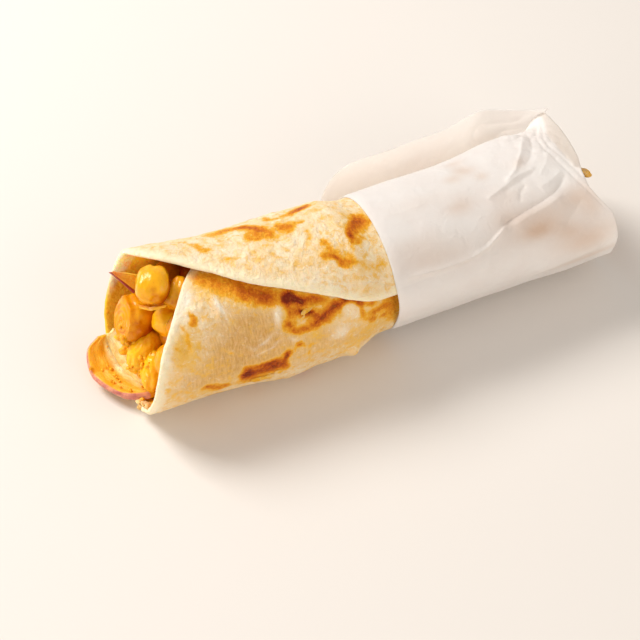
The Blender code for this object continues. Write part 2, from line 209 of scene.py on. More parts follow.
# --- the bread -----------------------------------------------------------------------------
def rim_distance_table(steps=24):
    """How far the rim is from the middle of the flat bread, for each way to it."""
    rim = np.array(BREAD_RIM, float)
    count = len(rim)
    smooth = np.array([catmull_rom(*(rim[(i + step) % count] for step in (-1, 0, 1, 2)), t)
                       for i in range(count) for t in np.arange(steps) / steps])
    turn = np.arctan2(smooth[:, 1], smooth[:, 0])
    order = np.argsort(turn)
    return turn[order], np.hypot(*smooth[order].T)


RIM_TABLE = rim_distance_table()


def flat_bread(s, t):
    """(u, v) and the distance to the rim, for places on a square from -1 to 1."""
    x = s * np.sqrt(1.0 - t * t / 2.0)
    y = t * np.sqrt(1.0 - s * s / 2.0)
    turn = np.arctan2(y, x)
    reach = np.interp(turn, *RIM_TABLE, period=2.0 * math.pi)
    around = np.stack([np.cos(turn), np.sin(turn), np.zeros_like(turn)], -1)
    reach = reach + RIM_WOBBLE * (lumps(around, 0.13) + 0.35 * lumps(around, 0.03, 5.0))
    torn = bump(np.degrees(turn), *TORN_RIM)
    reach = reach + torn * (1.6 * lumps(around, 0.04, 9.0) + 1.1 * lumps(around, 0.021, 3.0))
    share = np.hypot(x, y)
    return share * reach * np.cos(turn), share * reach * np.sin(turn), (1.0 - share) * reach


def spiral_radius(angle):
    return BREAD_RADIUS + BREAD_PITCH * (angle - BREAD_START) / 360.0


def winding(v):
    """The angle and the radius at which a place v of the flat bread lies on the roll."""
    angle = BREAD_START + np.degrees(v / BREAD_RADIUS)
    for _ in range(6):
        angle = BREAD_START + np.degrees(2.0 * v / (BREAD_RADIUS + spiral_radius(angle)))
    return angle, spiral_radius(angle)


def shaped_radius(u, angle, radius):
    flare = FLARE * smooth_step(*FLARE_SPAN, -u) * bump(angle, *FLARE_PLACE)
    squeeze = SQUEEZE * smooth_step(*SQUEEZE_SPAN, u) + FAR_SQUEEZE * smooth_step(*FAR_SQUEEZE_SPAN, u)
    return radius + flare + hill(u, angle, *BELLY) - squeeze


def on_section(u, angle, radius):
    """Places at an angle and a radius round the roll's axis, which sinks under the sleeve."""
    height = AXIS_HEIGHT - SLEEVE_DROP * smooth_step(*SQUEEZE_SPAN, u)
    height = height - FAR_SQUEEZE * smooth_step(*FAR_SQUEEZE_SPAN, u)
    height = height + END_LIFT * smooth_step(*END_LIFT_SPAN, u)
    shift = SLEEVE_SHIFT * smooth_step(*SLEEVE_SHIFT_SPAN, u)
    u, y = np.broadcast_arrays(u, shift + radius * cos(angle) * BREAD_WIDE)
    return np.stack([u, y, height + radius * sin(angle) * BREAD_TALL], -1)


def above(places, height):
    """Keeps places from sinking below a height."""
    places[..., 2] = np.maximum(places[..., 2], height)
    return places


def bread_floor(u):
    return (PAPER_THICKNESS + PAPER_GAP) * smooth_step(*SQUEEZE_SPAN, u)


def bread_middle(u, v):
    angle, radius = winding(v)
    places = on_section(u, angle, shaped_radius(u, angle, radius))
    return above(places, bread_floor(u) + BREAD_THICKNESS / 2.0)


def facing(surface, first, second, step=0.4):
    """Unit normals of a surface that is a function of two arrays."""
    along = surface(first + step, second) - surface(first - step, second)
    across = surface(first, second + step) - surface(first, second - step)
    normal = np.cross(across, along)
    return normal / np.linalg.norm(normal, axis=-1, keepdims=True)


def rounded(inset, reach, least=0.0):
    """How much of its thickness a sheet has near its edge, which is round over a reach."""
    return np.sqrt(np.clip(1.0 - (1.0 - np.minimum(inset / reach, 1.0)) ** 2, least, 1.0))


# --- meshes --------------------------------------------------------------------------------
def turn_outwards(mesh):
    """Turns a closed mesh's faces round if they look inwards."""
    shell = bmesh.new()
    shell.from_mesh(mesh)
    if shell.calc_volume(signed=True) < 0.0:
        bmesh.ops.reverse_faces(shell, faces=shell.faces)
        shell.to_mesh(mesh)
    shell.free()


def placed(name, data):
    made = bpy.data.objects.new(name, data)
    bpy.context.scene.collection.objects.link(made)
    return made


def piece(name, vertices, faces, finish, fields):
    """A mesh object from millimetre vertices, with its finish and its named point fields."""
    mesh = bpy.data.meshes.new(name)
    mesh.from_pydata(((vertices - FOOTPRINT_MIDDLE) * MM).tolist(), [], faces.tolist())
    turn_outwards(mesh)
    for field, values in fields.items():
        kind, key = ("FLOAT_VECTOR", "vector") if values.ndim == 2 else ("FLOAT", "value")
        made = mesh.attributes.new(field, kind, "POINT")
        made.data.foreach_set(key, values.astype(np.float32).ravel())
    mesh.materials.append(finish)
    mesh.shade_smooth()
    return placed(name, mesh)


def grid_index(grid):
    rows, columns = grid.shape[:2]
    return np.arange(rows * columns).reshape(rows, columns)


def wall(name, front, back, finish, fields):
    """A closed thin wall between two grids of places. fields holds (front, back) values."""
    index = grid_index(front)
    quads = np.stack([index[:-1, :-1], index[:-1, 1:], index[1:, 1:], index[1:, :-1]], -1)
    quads = quads.reshape(-1, 4)
    ring = np.concatenate([index[0, :-1], index[:-1, -1], index[-1, :0:-1], index[:0:-1, 0]])
    beyond = np.roll(ring, -1)
    rim = np.stack([ring, ring + index.size, beyond + index.size, beyond], -1)
    faces = np.concatenate([quads, quads[:, ::-1] + index.size, rim])
    vertices = np.concatenate([front.reshape(-1, 3), back.reshape(-1, 3)])
    both = {}
    for field, (near, far) in fields.items():
        width = (3,) if near.ndim == 3 else ()
        both[field] = np.concatenate([near.reshape(-1, *width), far.reshape(-1, *width)])
    return piece(name, vertices, faces, finish, both)


def alike(**values):
    """Fields that are the same on both sides of a wall."""
    return {field: (value, value) for field, value in values.items()}


def finished(made, replaced):
    """Says what a piece rides on and which solid it replaces."""
    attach(made, "root")
    if replaced:
        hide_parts(replaced)


# Toasted spots of the bread: u, v, half length, half width, turn in degrees, strength. The spots along the
# flap's edge, from (-60.2, -73.4) to (-39.6, -60.4) and round (-30, -54), are toasted dough and also painted
# shade under that edge.
TOASTED_AND_SHADED = (
    (-16.5, 80.6, 4.4, 2.6, 20, 0.17), (-12.8, 83.2, 3.6, 2.6, 20, 0.22), (-18.4, 78.6, 3, 2, 0, 0.14),
    (1, -45, 3.4, 9, 0, 0.75), (-29, -52.4, 3, 1.6, 20, 0.9), (-32, -53.4, 1.6, 2.2, 0, 0.8),
    (-28.6, -55.6, 3.4, 1.3, 10, 0.8), (-45.6, -37.4, 4.6, 1.5, 0, 0.75), (-49.8, -36.8, 1.8, 1.6, 0, 0.5),
    (-41, -37.2, 2.2, 1.4, 0, 0.6), (-70.5, -52, 2.6, 5, 8, 0.22), (-60.2, -73.4, 2.9, 2.2, 42, 0.44),
    (-57, -71.6, 4.1, 3.2, 38, 0.53), (-52.8, -68.4, 4.6, 3.5, 34, 0.56), (-48.2, -65.4, 4.3, 3.6, 30, 0.7),
    (-43.8, -62.6, 4.1, 3.8, 28, 0.81), (-39.6, -60.4, 3.4, 3.2, 24, 0.84), (-47, -62.4, 1.9, 1.6, 0, 0.35),
    (-41.2, -59.6, 1.7, 1.8, 0, 0.5), (-33.6, -58.6, 2.5, 1.9, 18, 2.1), (-31.2, -56.9, 2, 1.3, 24, 1.68),
    (-35.6, -57.6, 1.4, 1.7, 0, 1.05), (-25.6, -55.6, 3.8, 1.2, 24, 0.95), (-34.6, -54.2, 1.3, 2.9, -6, 1),
    (-29.4, -52.6, 2.2, 0.5, 32, 1.58), (-36.2, -50.4, 1.8, 1.5, 10, 1.1), (-34.6, -48, 2.1, 1.2, 8, 1),
    (-30.8, -47.4, 2.7, 1.1, 4, 0.89), (-26.8, -48.6, 2.9, 2, -10, 1.1), (-22.8, -50, 3.4, 2.6, -18, 1.31),
    (-18.6, -51.8, 2.9, 1.8, -20, 1.21), (-15.2, -52.4, 2.3, 1.3, 14, 1.19),
    (-11.6, -50.7, 2.5, 1, 26, 1.19), (-10.9, -47.6, 0.8, 2.9, 0, 0.79), (-7.4, -48.2, 2.1, 1, 14, 0.85),
    (-5.2, -44.6, 4.4, 1.3, 0, 0.99), (-7.6, -42.2, 2.4, 1.1, 14, 1), (-2.4, -41.2, 2.2, 0.92, 10, 0.62),
    (-33.2, -42.7, 1.4, 1, 10, 1.05), (-35.6, -41.2, 1.6, 0.7, -25, 0.6), (-37.9, -39.9, 1.3, 1.6, 0, 1.5),
    (-38.2, -36.4, 1.5, 2.6, 0, 0.9), (-51.6, -37.2, 1.6, 2.5, 12, 1.25), (-50.2, -35, 1.8, 1.6, 0, 0.8),
    (-46.4, -39, 4, 1.2, 0, 0.95), (-41.8, -38.7, 2.6, 1.3, 0, 0.9), (-45.8, -35.6, 4.5, 1.7, 0, 1.15),
    (-40.8, -35.2, 2.5, 2, 0, 0.85), (-48, -32.5, 5.6, 2, 0, 0.7), (-29.4, -41.4, 2.4, 0.9, 10, 0.45),
    (-30.2, -38.2, 1, 2.2, 0, 0.4), (-64.7, -61, 0.9, 1.9, -14, 0.85), (-65.8, -59.8, 1.2, 0.7, 20, 0.6),
    (-69.4, -59.4, 0.6, 1.2, 0, 0.4), (-68.6, -55, 0.7, 3.4, 4, 0.42), (-72.8, -53.8, 1.2, 0.7, 30, 0.35),
    (-62.8, -35.9, 2.8, 1.3, 8, 0.95), (-59.6, -33.6, 3.4, 1.3, 0, 0.95), (-65.6, -36.6, 1.4, 1.1, 0, 0.7),
    (-74, -35, 2.6, 1.6, 30, 0.3), (-56.5, -47.6, 2.4, 0.8, 30, 0.3), (-53.8, -57.2, 2.6, 1.1, 60, 0.27),
    (-15.4, -36, 3, 1.4, 20, 0.32), (-47.6, 56.6, 2.8, 2.1, 0, 0.43), (-44.4, 57.4, 2.8, 2.1, 6, 0.47),
    (-41.8, 56.6, 2.3, 2.1, 10, 0.47), (-46.8, 59.4, 2, 1.8, 0, 0.28), (-38.8, 58.6, 2.8, 1.6, 18, 0.69),
    (-36.7, 59.7, 2.4, 1.6, 32, 0.73), (-35, 61.8, 2.3, 1.6, 52, 0.69), (-33.4, 63.7, 2.4, 1.8, 44, 0.73),
    (-31.4, 65, 2.1, 1.6, 30, 0.52), (-38.8, 66.2, 1.7, 1.7, 0, 0.4), (-36.8, 67.3, 2.1, 1.4, 10, 0.47),
    (-35, 66, 1.8, 1.6, 0, 0.43), (-33.4, 68, 2.4, 1.4, 0, 0.47), (-31.3, 67.6, 1.8, 1.8, 0, 0.52),
    (-36.4, 64.3, 1.7, 1.4, 0, 0.39), (-38.6, 63.6, 1.3, 2, 0, 0.26), (-30.4, 69.8, 1.6, 1.1, 0, 0.34),
    (-27.4, 65, 1.7, 1.7, 0, 0.56), (-26, 66.3, 1.7, 1.4, 20, 0.6), (-24.7, 67.5, 1.6, 1.7, 0, 0.56),
    (-26.3, 69.2, 1.8, 1.3, 0, 0.43), (-27.9, 67.6, 1.1, 1.3, 0, 0.34), (-24.3, 64.8, 1.6, 1.1, 0, 0.43),
    (-21.5, 65.9, 1.8, 1.1, 8, 0.5), (-19.7, 66.3, 1.1, 0.85, 0, 0.3), (-22.4, 67.7, 1.1, 0.85, 0, 0.26),
    (-28.6, 58, 1.8, 2, 0, 0.47), (-27, 59.5, 2.6, 1.1, 10, 0.34), (-24, 60.2, 4.5, 1.1, 0, 0.26),
    (-20.8, 59.3, 2.6, 1.4, -8, 0.47), (-18.6, 58.6, 2.6, 1.6, -10, 0.82),
    (-16.6, 57.9, 2.3, 1.6, -20, 0.77), (-14.7, 56.9, 2.3, 1.7, -14, 0.65), (-13.1, 56.6, 1.3, 2, 0, 0.43),
    (-8.4, 77.1, 1.2, 1.4, 0, 1.29), (-8.8, 79.2, 1.3, 1.3, 0, 0.73), (-7.3, 75.3, 1.7, 1.4, -45, 0.77),
    (-5.9, 73.5, 2, 1.8, -45, 0.65), (-4.2, 71.4, 2.4, 2, -45, 0.65), (-2.2, 70.2, 2.4, 2.4, 0, 0.65),
    (-0.6, 72.4, 2.2, 2.9, 0, 0.6), (-3.4, 73.8, 2.6, 2.4, 0, 0.47), (-5.4, 76.6, 2.4, 1.7, -30, 0.43),
    (-6.6, 79.4, 2.2, 1.1, 0, 0.52), (-4.4, 79, 1.3, 0.84, 0, 0.34), (-9.6, 81.2, 0.8, 1.1, 0, 0.34),
    (-17.4, 76.4, 1.7, 1.1, 0, 0.43), (-16.5, 78.6, 1, 2, 0, 0.36), (-19.6, 81.1, 1.7, 1.1, 0, 0.47),
    (-17.6, 81.6, 1.6, 1, 10, 0.43), (-15.8, 82.2, 1.7, 1.3, 20, 0.86), (-14.3, 84, 1.1, 1.6, 30, 0.52),
    (-13.2, 85.3, 1.6, 1.3, 0, 0.58), (-11.4, 85.2, 1.3, 1.8, 0, 0.31), (-24.4, 76.8, 2.1, 1.1, 10, 0.28),
    (-22.6, 75.3, 1.6, 1, 0, 0.26), (-20.2, 71.2, 1.3, 2.1, 0, 0.33), (-21.5, 73.4, 1.3, 1, 0, 0.26),
    (-34.2, 71.8, 2.4, 1.8, 20, 0.28), (-39.6, 75.4, 2.4, 1.6, 0, 0.22), (-29.8, 74.8, 2.1, 1.3, 0, 0.21),
    (-33.5, 82.4, 2.7, 1.3, 0, 0.19), (-19.6, 88, 3, 1.1, 20, 0.21), (-56.8, 58.8, 1.7, 1.6, 0, 0.34),
    (-55.4, 62.2, 1.4, 2, -20, 0.33), (-54.2, 64.6, 1.6, 2.1, -25, 0.38), (-52.8, 66.8, 2, 1.6, -30, 0.4),
    (-50.8, 69.6, 1.3, 1, 0, 0.21), (-47.6, 72.2, 1.8, 1.4, 0, 0.43), (-64.4, 57, 2, 1.7, 0, 0.19),
    (-4, 88.6, 6.2, 1.3, 0, 0.34), (-8.2, 86.3, 3, 1.1, 10, 0.28), (-1.6, 84, 2, 1.3, 0, 0.26),
)
# Oily golden dough, broad: u, v, half length, half width, turn, strength
GOLDEN = (
    (-60, -69, 8, 4, 38, 0.8), (-46, -63, 10, 4, 30, 0.6), (-70.5, -53, 4.5, 7, 10, 1.5),
    (-77, -44, 3, 8, 0, 0.5), (-63, -45, 6, 5, 0, 0.55), (-68, -34, 12, 5, 0, 0.5),
    (-30, -44, 12, 7, 0, 0.35), (-5, -46, 9, 8, 0, 0.7), (-10, -36, 16, 7, 0, 0.45),
    (-34, 66, 8, 5, 0, 0.35), (-54, 64, 4, 4, -30, 0.4), (-6, 75, 6, 8, -45, 0.5),
    (-17, 80, 6, 5, 20, 0.35), (-6, 90, 9, 3.5, 0, 0.6), (-36, 75, 12, 4, 0, 0.2), (-47, 72, 4, 3, 0, 0.3),
    (-50, 20, 30, 26, 0, 0.4), (20, 0, 60, 60, 0, 0.4), (-48, -22, 30, 8, 0, 0.5),
    (-52, -67, 12, 5, 34, 0.5), (-32, -55, 9, 6, 20, 0.5), (-24, -49, 8, 4, -10, 0.5),
    (-45, -37, 10, 4, 0, 0.7), (-26, 67, 5, 4, 0, 0.4), (-17, 58, 8, 3.5, 0, 0.5),
    (-44, 58, 6, 3.5, 0, 0.45), (-62, -35, 6, 3.5, 0, 0.5),
)
# Dull tan dough, rubbed and stretched: u, v, half length, half width, turn, strength
DULL = (
    (-48, -54, 12, 8, 10, 1), (-58, -44, 14, 8, 0, 0.9), (-34, -37, 24, 6, 0, 0.6),
    (-24, -43, 10, 4, 0, 0.45), (-30, -53, 4, 3, 0, 0.7), (-8, -38, 10, 5, 0, 0.6),
    (-40, -45, 20, 6, 0, 0.5), (-70, -38, 8, 6, 0, 0.5),
)
# Pale streaks where the dough was stretched: u, v, half length, half width, turn, strength
STRETCHED = (
    (-70.4, -64.2, 8.5, 2.6, -50, 1), (-65.4, -66.8, 4.4, 2.6, -50, 0.9), (-77.6, -52, 1.8, 5, -12, 0.8),
    (-56, -62.6, 0.8, 4.6, -12, 1.1), (-38.8, -54.4, 1.2, 3.2, 10, 0.8), (-44.6, -47.4, 3.6, 0.8, -28, 0.8),
    (-42.4, -45.2, 3.4, 0.7, -20, 0.7), (-49.2, -46.6, 2.4, 0.6, 36, 0.6), (-47, -43.6, 3, 0.6, -8, 0.55),
    (-19, -42, 4, 2.6, 0, 0.7), (-14.6, -47.4, 3, 2.6, 0, 0.45), (-27.6, -51.4, 3.4, 0.7, -24, 0.45),
    (-27.4, -53.9, 2.4, 0.5, 24, 0.5), (-30.4, -49.6, 2.6, 0.9, -10, 0.4), (-58, 70, 4, 2, 30, 0.4),
    (-24, 73.6, 4, 2.6, 0, 0.4), (-19.4, 77.6, 2.2, 1.6, 0, 0.4), (-44, 69, 3, 3, 0, 0.4),
    (-30, 86, 9, 1.6, 24, 0.4), (-13.5, 81, 1.5, 1.2, 0, 0.4), (-34.6, -44.8, 3, 0.7, 20, 0.6),
)
# Cracks and crests of the near side: a line of places (u, v), its half width and how far it stands out
TEARS = (
    (((-32.2, -54.2), (-30.2, -53.2), (-28.6, -52), (-26.4, -51.2)), 0.45, -0.75),
    (((-31, -55.4), (-28.4, -54), (-25, -53.6), (-22.6, -54)), 0.7, 0.55),
    (((-31.4, -51.6), (-28, -50.4), (-24.6, -50.9)), 0.8, 0.35),
    (((-57, -67), (-56.2, -62), (-57.4, -57)), 0.7, 0.4),
    (((-38.4, -57), (-38.9, -54), (-38.2, -50.6)), 0.7, 0.45),
    (((-49, -48.8), (-46, -46.4), (-41, -44.6)), 0.5, 0.35),
    (((-52, -50.4), (-54, -46), (-52.6, -42)), 0.5, -0.3),
    (((-44, -42.6), (-48.4, -43.4), (-52, -45.6)), 0.5, -0.3),
    (((-66, -64.4), (-62.4, -62.6), (-60, -64.6)), 0.8, 0.35),
    (((-70.4, -60), (-69.6, -54), (-70.6, -48)), 0.9, -0.3),
)
# Toasted spots for the sides that the opening doesn't show: how many, and where along u and v
UNSEEN_OUTSIDE = ((60, (-82, 80), (-24, 50)), (16, (4, 82), (-90, 90)))
UNSEEN_INSIDE = (40, (-84, -40), (-90, 95))
# How far in from the rim the inner face stays free of masala, and how that changes: by how much,
# around which v and over what spread
SOAKED_FROM = 3.2
SOAKED_CHANGES = ((-4.6, 20.0, 13.0), (-2.0, -6.0, 14.0), (2.4, 60.0, 8.0), (3.0, 48.0, 9.0))
UPPER_LIP, LOWER_LIP, INNER_LIP, DRIP = (48.0, 11.0), (24.0, 14.0), (46.0, 13.0), (20.0, 11.0)
TORN_LIP = (-19.0, 8.0)


def patches(table, u, v):
    """Sum of soft patches at places on the flat bread."""
    total = np.zeros_like(u)
    for middle_u, middle_v, length, width, turn, strength in table:
        along = (u - middle_u) * cos(turn) + (v - middle_v) * sin(turn)
        across = (v - middle_v) * cos(turn) - (u - middle_u) * sin(turn)
        total += strength * np.exp(-((along / length) ** 2 + (across / width) ** 2))
    return total


def toasting(heat):
    """Overlapping patches darken each other less and less."""
    return 1.18 * heat / (1.0 + 0.28 * heat)


def unseen_spots(draw, count, u_span, v_span):
    """More toasted spots, of the same sizes, for the sides that the opening doesn't show."""
    for _ in range(count):
        size = draw.uniform(1.4, 4.6)
        yield (draw.uniform(*u_span), draw.uniform(*v_span), size * draw.uniform(1.0, 1.9), size,
               draw.uniform(-60, 60), draw.uniform(0.4, 1.1))


def bread_relief(u, v, face):
    """How far the bread's surface stands out from an even sheet."""
    flat = np.stack([u, v, np.full_like(u, face * 40.0)], -1)
    cells = [noise.voronoi(row)[0][0] for row in (flat / BLISTER_GRID).reshape(-1, 3).tolist()]
    blisters = smooth_step(0.42, 0.1, np.array(cells).reshape(u.shape))
    blisters = blisters * smooth_step(0.0, 0.35, lumps(flat, 9.0, 5.0))
    relief = rough(flat, BREAD_ROUGH) + BLISTER_HEIGHT * blisters
    if face > 0:
        relief += hill(u, v, *TORN_PATCH) * lumps(flat * (1.0, 2.2, 1.0), 2.0, 1.0)
        for line, width, height in TEARS:
            away, share = distance_to_line(u, v, line)
            relief += height * np.exp(-(away / width) ** 2) * np.sin(math.pi * share) ** 0.5
        relief += hill(u, v, *RUBBED_PATCH) * (folds(flat * (1.0, 0.45, 1.0), 1.9, 2.0) - 0.6)
        relief += hill(u, v, *LUMP) + hill(u, v, *HOLLOW)
    torn_lip = bump(v, *TORN_LIP) * smooth_step(-75.0, -80.5, u)
    relief = relief + 0.6 * torn_lip * lumps(flat, 1.7, 5.0)
    return relief * mix(1.0, 0.25, smooth_step(-9.0, 0.0, u))


def bread_fields(u, v, inset):
    """What the finish reads on the bread's outer and inner face."""
    draw = random.Random(5)
    outside = [*TOASTED_AND_SHADED, *(spot for unseen in UNSEEN_OUTSIDE for spot in unseen_spots(draw, *unseen))]
    inside = list(unseen_spots(draw, *UNSEEN_INSIDE))
    flat = flat_sheet(u, v, 1.0, 1.0)
    wander = u + 0.9 * lumps(flat, 3.2, 2.0), v + 0.9 * lumps(flat, 3.2, 7.0)
    soaked_from = sum((change * bump(v, *place) for change, *place in SOAKED_CHANGES), SOAKED_FROM)
    soaked_from = soaked_from + 1.3 * lumps(flat, 4.0, 4.0)
    stain = smooth_step(soaked_from - 1.6, soaked_from + 2.4, inset)
    # thin marks the thin lips near the rim: the finish lets light through them and also paints them a
    # lighter gold, which is painted light
    thin = np.maximum(bump(v, *UPPER_LIP), 0.35 * bump(v, *LOWER_LIP)) * smooth_step(18.0, 11.0, inset)
    # Deep inside the roll the inner face is painted dark red-brown, as painted shade in the recess
    deep = smooth_step(9.0, 17.0, inset + 1.5 * lumps(flat, 6.0, 3.0) - 4.0 * bump(v, *INNER_LIP))
    drip = 1.3 * bump(v, *DRIP) * smooth_step(3.2, 0.5, inset + 0.8 * lumps(flat, 2.0, 6.0))
    rim = smooth_step(4.2, 0.8, inset + 0.9 * lumps(flat, 5.0, 8.0)) * (1.0 - hill(u, v, *BAKED_EDGE))
    # The narrow band within about a millimetre of the edge is pale as well: a painted highlight along the
    # rounded rim
    rim = np.maximum(rim, smooth_step(1.1, 0.5, inset + 0.25 * lumps(flat, 3.0, 1.0)))
    none = np.zeros_like(u)
    inner_toast = 0.4 * toasting(patches(inside, *wander)) * smooth_step(3.0, 9.0, inset)
    return {
        "flat": (flat, flat + (0.0, 0.0, 60.0)),
        "toast": (toasting(patches(outside, *wander)), inner_toast),
        "golden": (patches(GOLDEN, *wander), none + 0.3),
        "dull": (patches(DULL, *wander), none),
        "pale": (patches(STRETCHED, *wander), none),
        "stain": (drip, np.maximum(stain, drip)),
        "rim": (rim, rim), "deep": (none, deep), "thin": (none, thin),
    }


def from_rim(end, count):
    """Grid lines from -1 to an end, which crowd at the bread's rim."""
    return np.concatenate([RIM_LINES[:-1] - 1.0, np.linspace(RIM_LINES[-1] - 1.0, end, count)])


def make_bread(finish):
    coarse = np.linspace(FINE_UNTIL, 1.0 - RIM_LINES[-1], COARSE_LINES)[1:]
    s = np.concatenate([from_rim(FINE_UNTIL, FINE_LINES), coarse, 1.0 - RIM_LINES[-2::-1]])
    near_half = from_rim(0.0, HALF_LINES)[:-2]
    t = np.round(np.concatenate([near_half, -near_half[::-1]]), 6)
    u, v, inset = flat_bread(*np.meshgrid(s, t, indexing="ij"))
    middle, normal = bread_middle(u, v), facing(bread_middle, u, v)
    half = BREAD_THICKNESS / 2.0 * rounded(inset, RIM_ROUNDING)
    half = half * (1.0 - RIM_THINNER * smooth_step(5.0, 0.0, inset))
    away = smooth_step(0.0, 1.5, inset)
    hidden = smooth_step(3.0, 9.0, u) * smooth_step(72.0, 62.0, u)
    sides = []
    for face in (1, -1):
        reach = half + bread_relief(u, v, face) * away - SUNK_UNDER_PAPER * hidden * (face > 0)
        sides.append(above(middle + face * normal * reach[..., None], 0.0))
    made = wall("paratha", *sides, finish, bread_fields(u, v, inset))
    finished(made, "flatbread")


# --- paper sleeve --------------------------------------------------------------------------
PAPER_SHEET = 0.24
PAPER_START, PAPER_LEAVE = 14.0, 314.0
PAPER_STEP = (160.0, 205.0)
ROLL_SHARE = 0.74  # the share of the sheet's lines that lies on the roll
SLEEVE_ARC = 0.44  # millimetres round the sleeve for each degree
PAPER_LEFT = ((14, 1.5), (150, 1.5), (227, 3.5), (314, 4.0))
PAPER_RIGHT = ((14, 78), (45, 80.5), (97, 78.5), (110, 77.2), (124, 77.4), (136, 79.5),
               (150, 83), (190, 86), (227, 89), (314, 89))
SHEER_FROM = ((14, 80.5), (42, 79.4), (56, 76.8), (68.6, 74.4), (85.4, 74), (105, 75.6), (120, 84),
              (314, 95))  # angle and u beyond which the paper is a single sheet
FLAP_SECTION = ((27.5, 11.5), (35.0, 18.5), (37.6, 26.0), (37.2, 34.0), (36.2, 42.0))
FLAP_FOLDED_SECTION = ((26.5, 12.0), (30.5, 20.5), (30.5, 29.5), (27.5, 38.0), (23.2, 46.8))
FLAP_FOLD_SPAN = (60.0, 82.0)
FLAP_TOP = ((2, 20), (4, 24), (8.5, 31), (13, 33.8), (32, 35), (50, 37), (62, 41.5), (73, 44.3),
            (79, 44.4), (82, 42.5))
FLAP_EDGES = (3.0, 89.0, 81.5)
FLAP_CORNER_SPAN = (0.3, 1.0)
FLAP_HEIGHT = 36.0
EDGE_TUCK, EDGE_REACH = 0.38, 2.6  # how far the left edge goes in, and from how far along
PAPER_LINES = ((312, 0.05, 0.36, 1.9), (148, 0.42, 1.0, 1.7))
# Creases: places (u, angle) of a line, its width and how far it goes in towards the roll
CREASES = (
    (((3, 147), (11, 147.8), (18, 149), (24, 149), (29.5, 148.4), (36.6, 143.6), (42, 136.4),
     (46, 131)), 1.1, -1.25),
    (((-4, 154), (12, 153.4), (24, 154), (34, 150), (42, 142)), 2.4, 0.9),
    (((31.5, 146), (36.9, 140.4), (41.7, 134.4), (45.9, 130), (49.2, 127.8)), 0.8, 0.5),
    (((43, 134), (45.9, 131), (52.5, 126.8), (59.7, 123.2), (65.1, 119.6), (69, 113.6),
     (71.7, 106)), 1.1, 0.75),
    (((46, 136), (53, 131.5), (61, 128), (68, 122)), 2.4, -0.7),
    (((41, 110.4), (42.6, 108.8), (47.1, 105.2), (50.7, 102.2), (55.2, 98.6), (60.6, 96.8),
     (63, 95)), 0.9, -0.6),
    (((47, 108), (52, 104.4), (58, 101), (62, 99.4)), 1.2, 0.4),
    (((67, 58), (65.4, 67.4), (60, 83), (57.6, 88.4), (55.5, 93.8), (52.5, 98), (49.5, 101)), 1, -0.9),
    (((70, 52), (69.2, 62.6), (66.4, 77), (62.8, 87), (59, 93)), 1.4, 0.75),
    (((60, 48), (58, 62), (54, 76), (50, 88)), 4, 0.35),
    (((36.9, 140), (36.9, 149), (35.4, 158), (33.6, 165)), 1.2, -0.35),
    (((52, 120), (53.5, 112), (57, 106)), 0.9, 0.45), (((62, 104), (67, 95), (70, 84)), 1.2, -0.4),
    (((60, 113), (66, 109), (71, 104)), 1.6, -0.45), (((30, 60), (42, 66), (50, 60)), 3, -0.3),
    (((78, 38), (73.8, 55), (70, 70), (69.6, 82.4), (71.1, 96.8), (74.4, 117.2), (78.3, 134.6),
     (83.1, 154)), 0.45, 0.5),
    (((79.6, 41), (75.6, 57), (71.9, 72), (71.7, 80), (73.6, 95.6), (76.2, 113), (79.3, 131),
     (83.6, 150)), 0.45, 0.5),
    (((79.4, 42), (76.8, 56), (74.4, 68.6), (74, 85.4), (75.6, 105)), 0.4, 0.45),
    (((12, 60), (30, 66), (46, 62)), 5, -0.3), (((8, 112), (26, 108), (44, 112)), 5, 0.25),
    (((10, 172), (36, 176), (62, 171)), 6, 0.4), (((52, 190), (66, 184), (80, 176)), 3, -0.6),
    (((4, 96), (12, 99), (22, 97)), 1.6, -0.25), (((64, 150), (70, 138), (74, 130)), 2, 0.35),
)
# Toasted bread that shows through the paper; the broad patches on the near side, at angles of 140 and more,
# are partly painted shade and painted warm reflection: u, angle, half sizes, turn, strength
SHOW_THROUGH_AND_SHADE = (
    (34.5, 83, 3.2, 5, 0, 0.5), (38.5, 75, 2.6, 5, 0, 0.4), (44, 89, 2.2, 4, 0, 0.5),
    (29, 110, 4, 5, 0, 0.35), (57, 133, 11, 9, 0, 0.6), (72, 128, 7, 9, 0, 0.7), (12, 128, 12, 9, 0, 0.35),
    (58, 89, 2.2, 4.5, 20, 0.4), (70, 160, 12, 9, 0, 0.4), (20, 96, 12, 8, 0, 0.2), (66, 152, 5, 6, 0, 0.5),
    (55, 145, 5, 6, 0, 0.5), (39, 65, 3.2, 5, 0, 0.4), (41, 79, 3, 5, 0, 0.45), (33, 108, 4, 8, 0, 0.4),
    (74, 190, 12, 7, 0, 0.6), (76, 140, 4, 9, 0, 0.45), (57, 144, 12, 8, 0, 0.7), (73, 168, 9, 12, 0, 0.6),
    (44, 128, 7, 9, 0, 0.4), (16, 140, 12, 8, 0, 0.4), (48, 112, 8, 9, 0, 0.3), (40, 152, 40, 16, 0, 0.2),
)


def paper_radius(u, angle):
    past_edge = smooth_step(*PAPER_STEP, angle)
    wound = mix(spiral_radius(angle), spiral_radius(angle - 360.0), past_edge)
    radius = shaped_radius(u, 180.0, wound) + sum(hill(u, angle, *place) for place in PAPER_HILLS)
    return radius + BREAD_THICKNESS / 2.0 + PAPER_GAP + PAPER_THICKNESS / 2.0


def paper_on_roll(u, angle):
    return above(on_section(u, angle, paper_radius(u, angle)), PAPER_THICKNESS / 2.0)


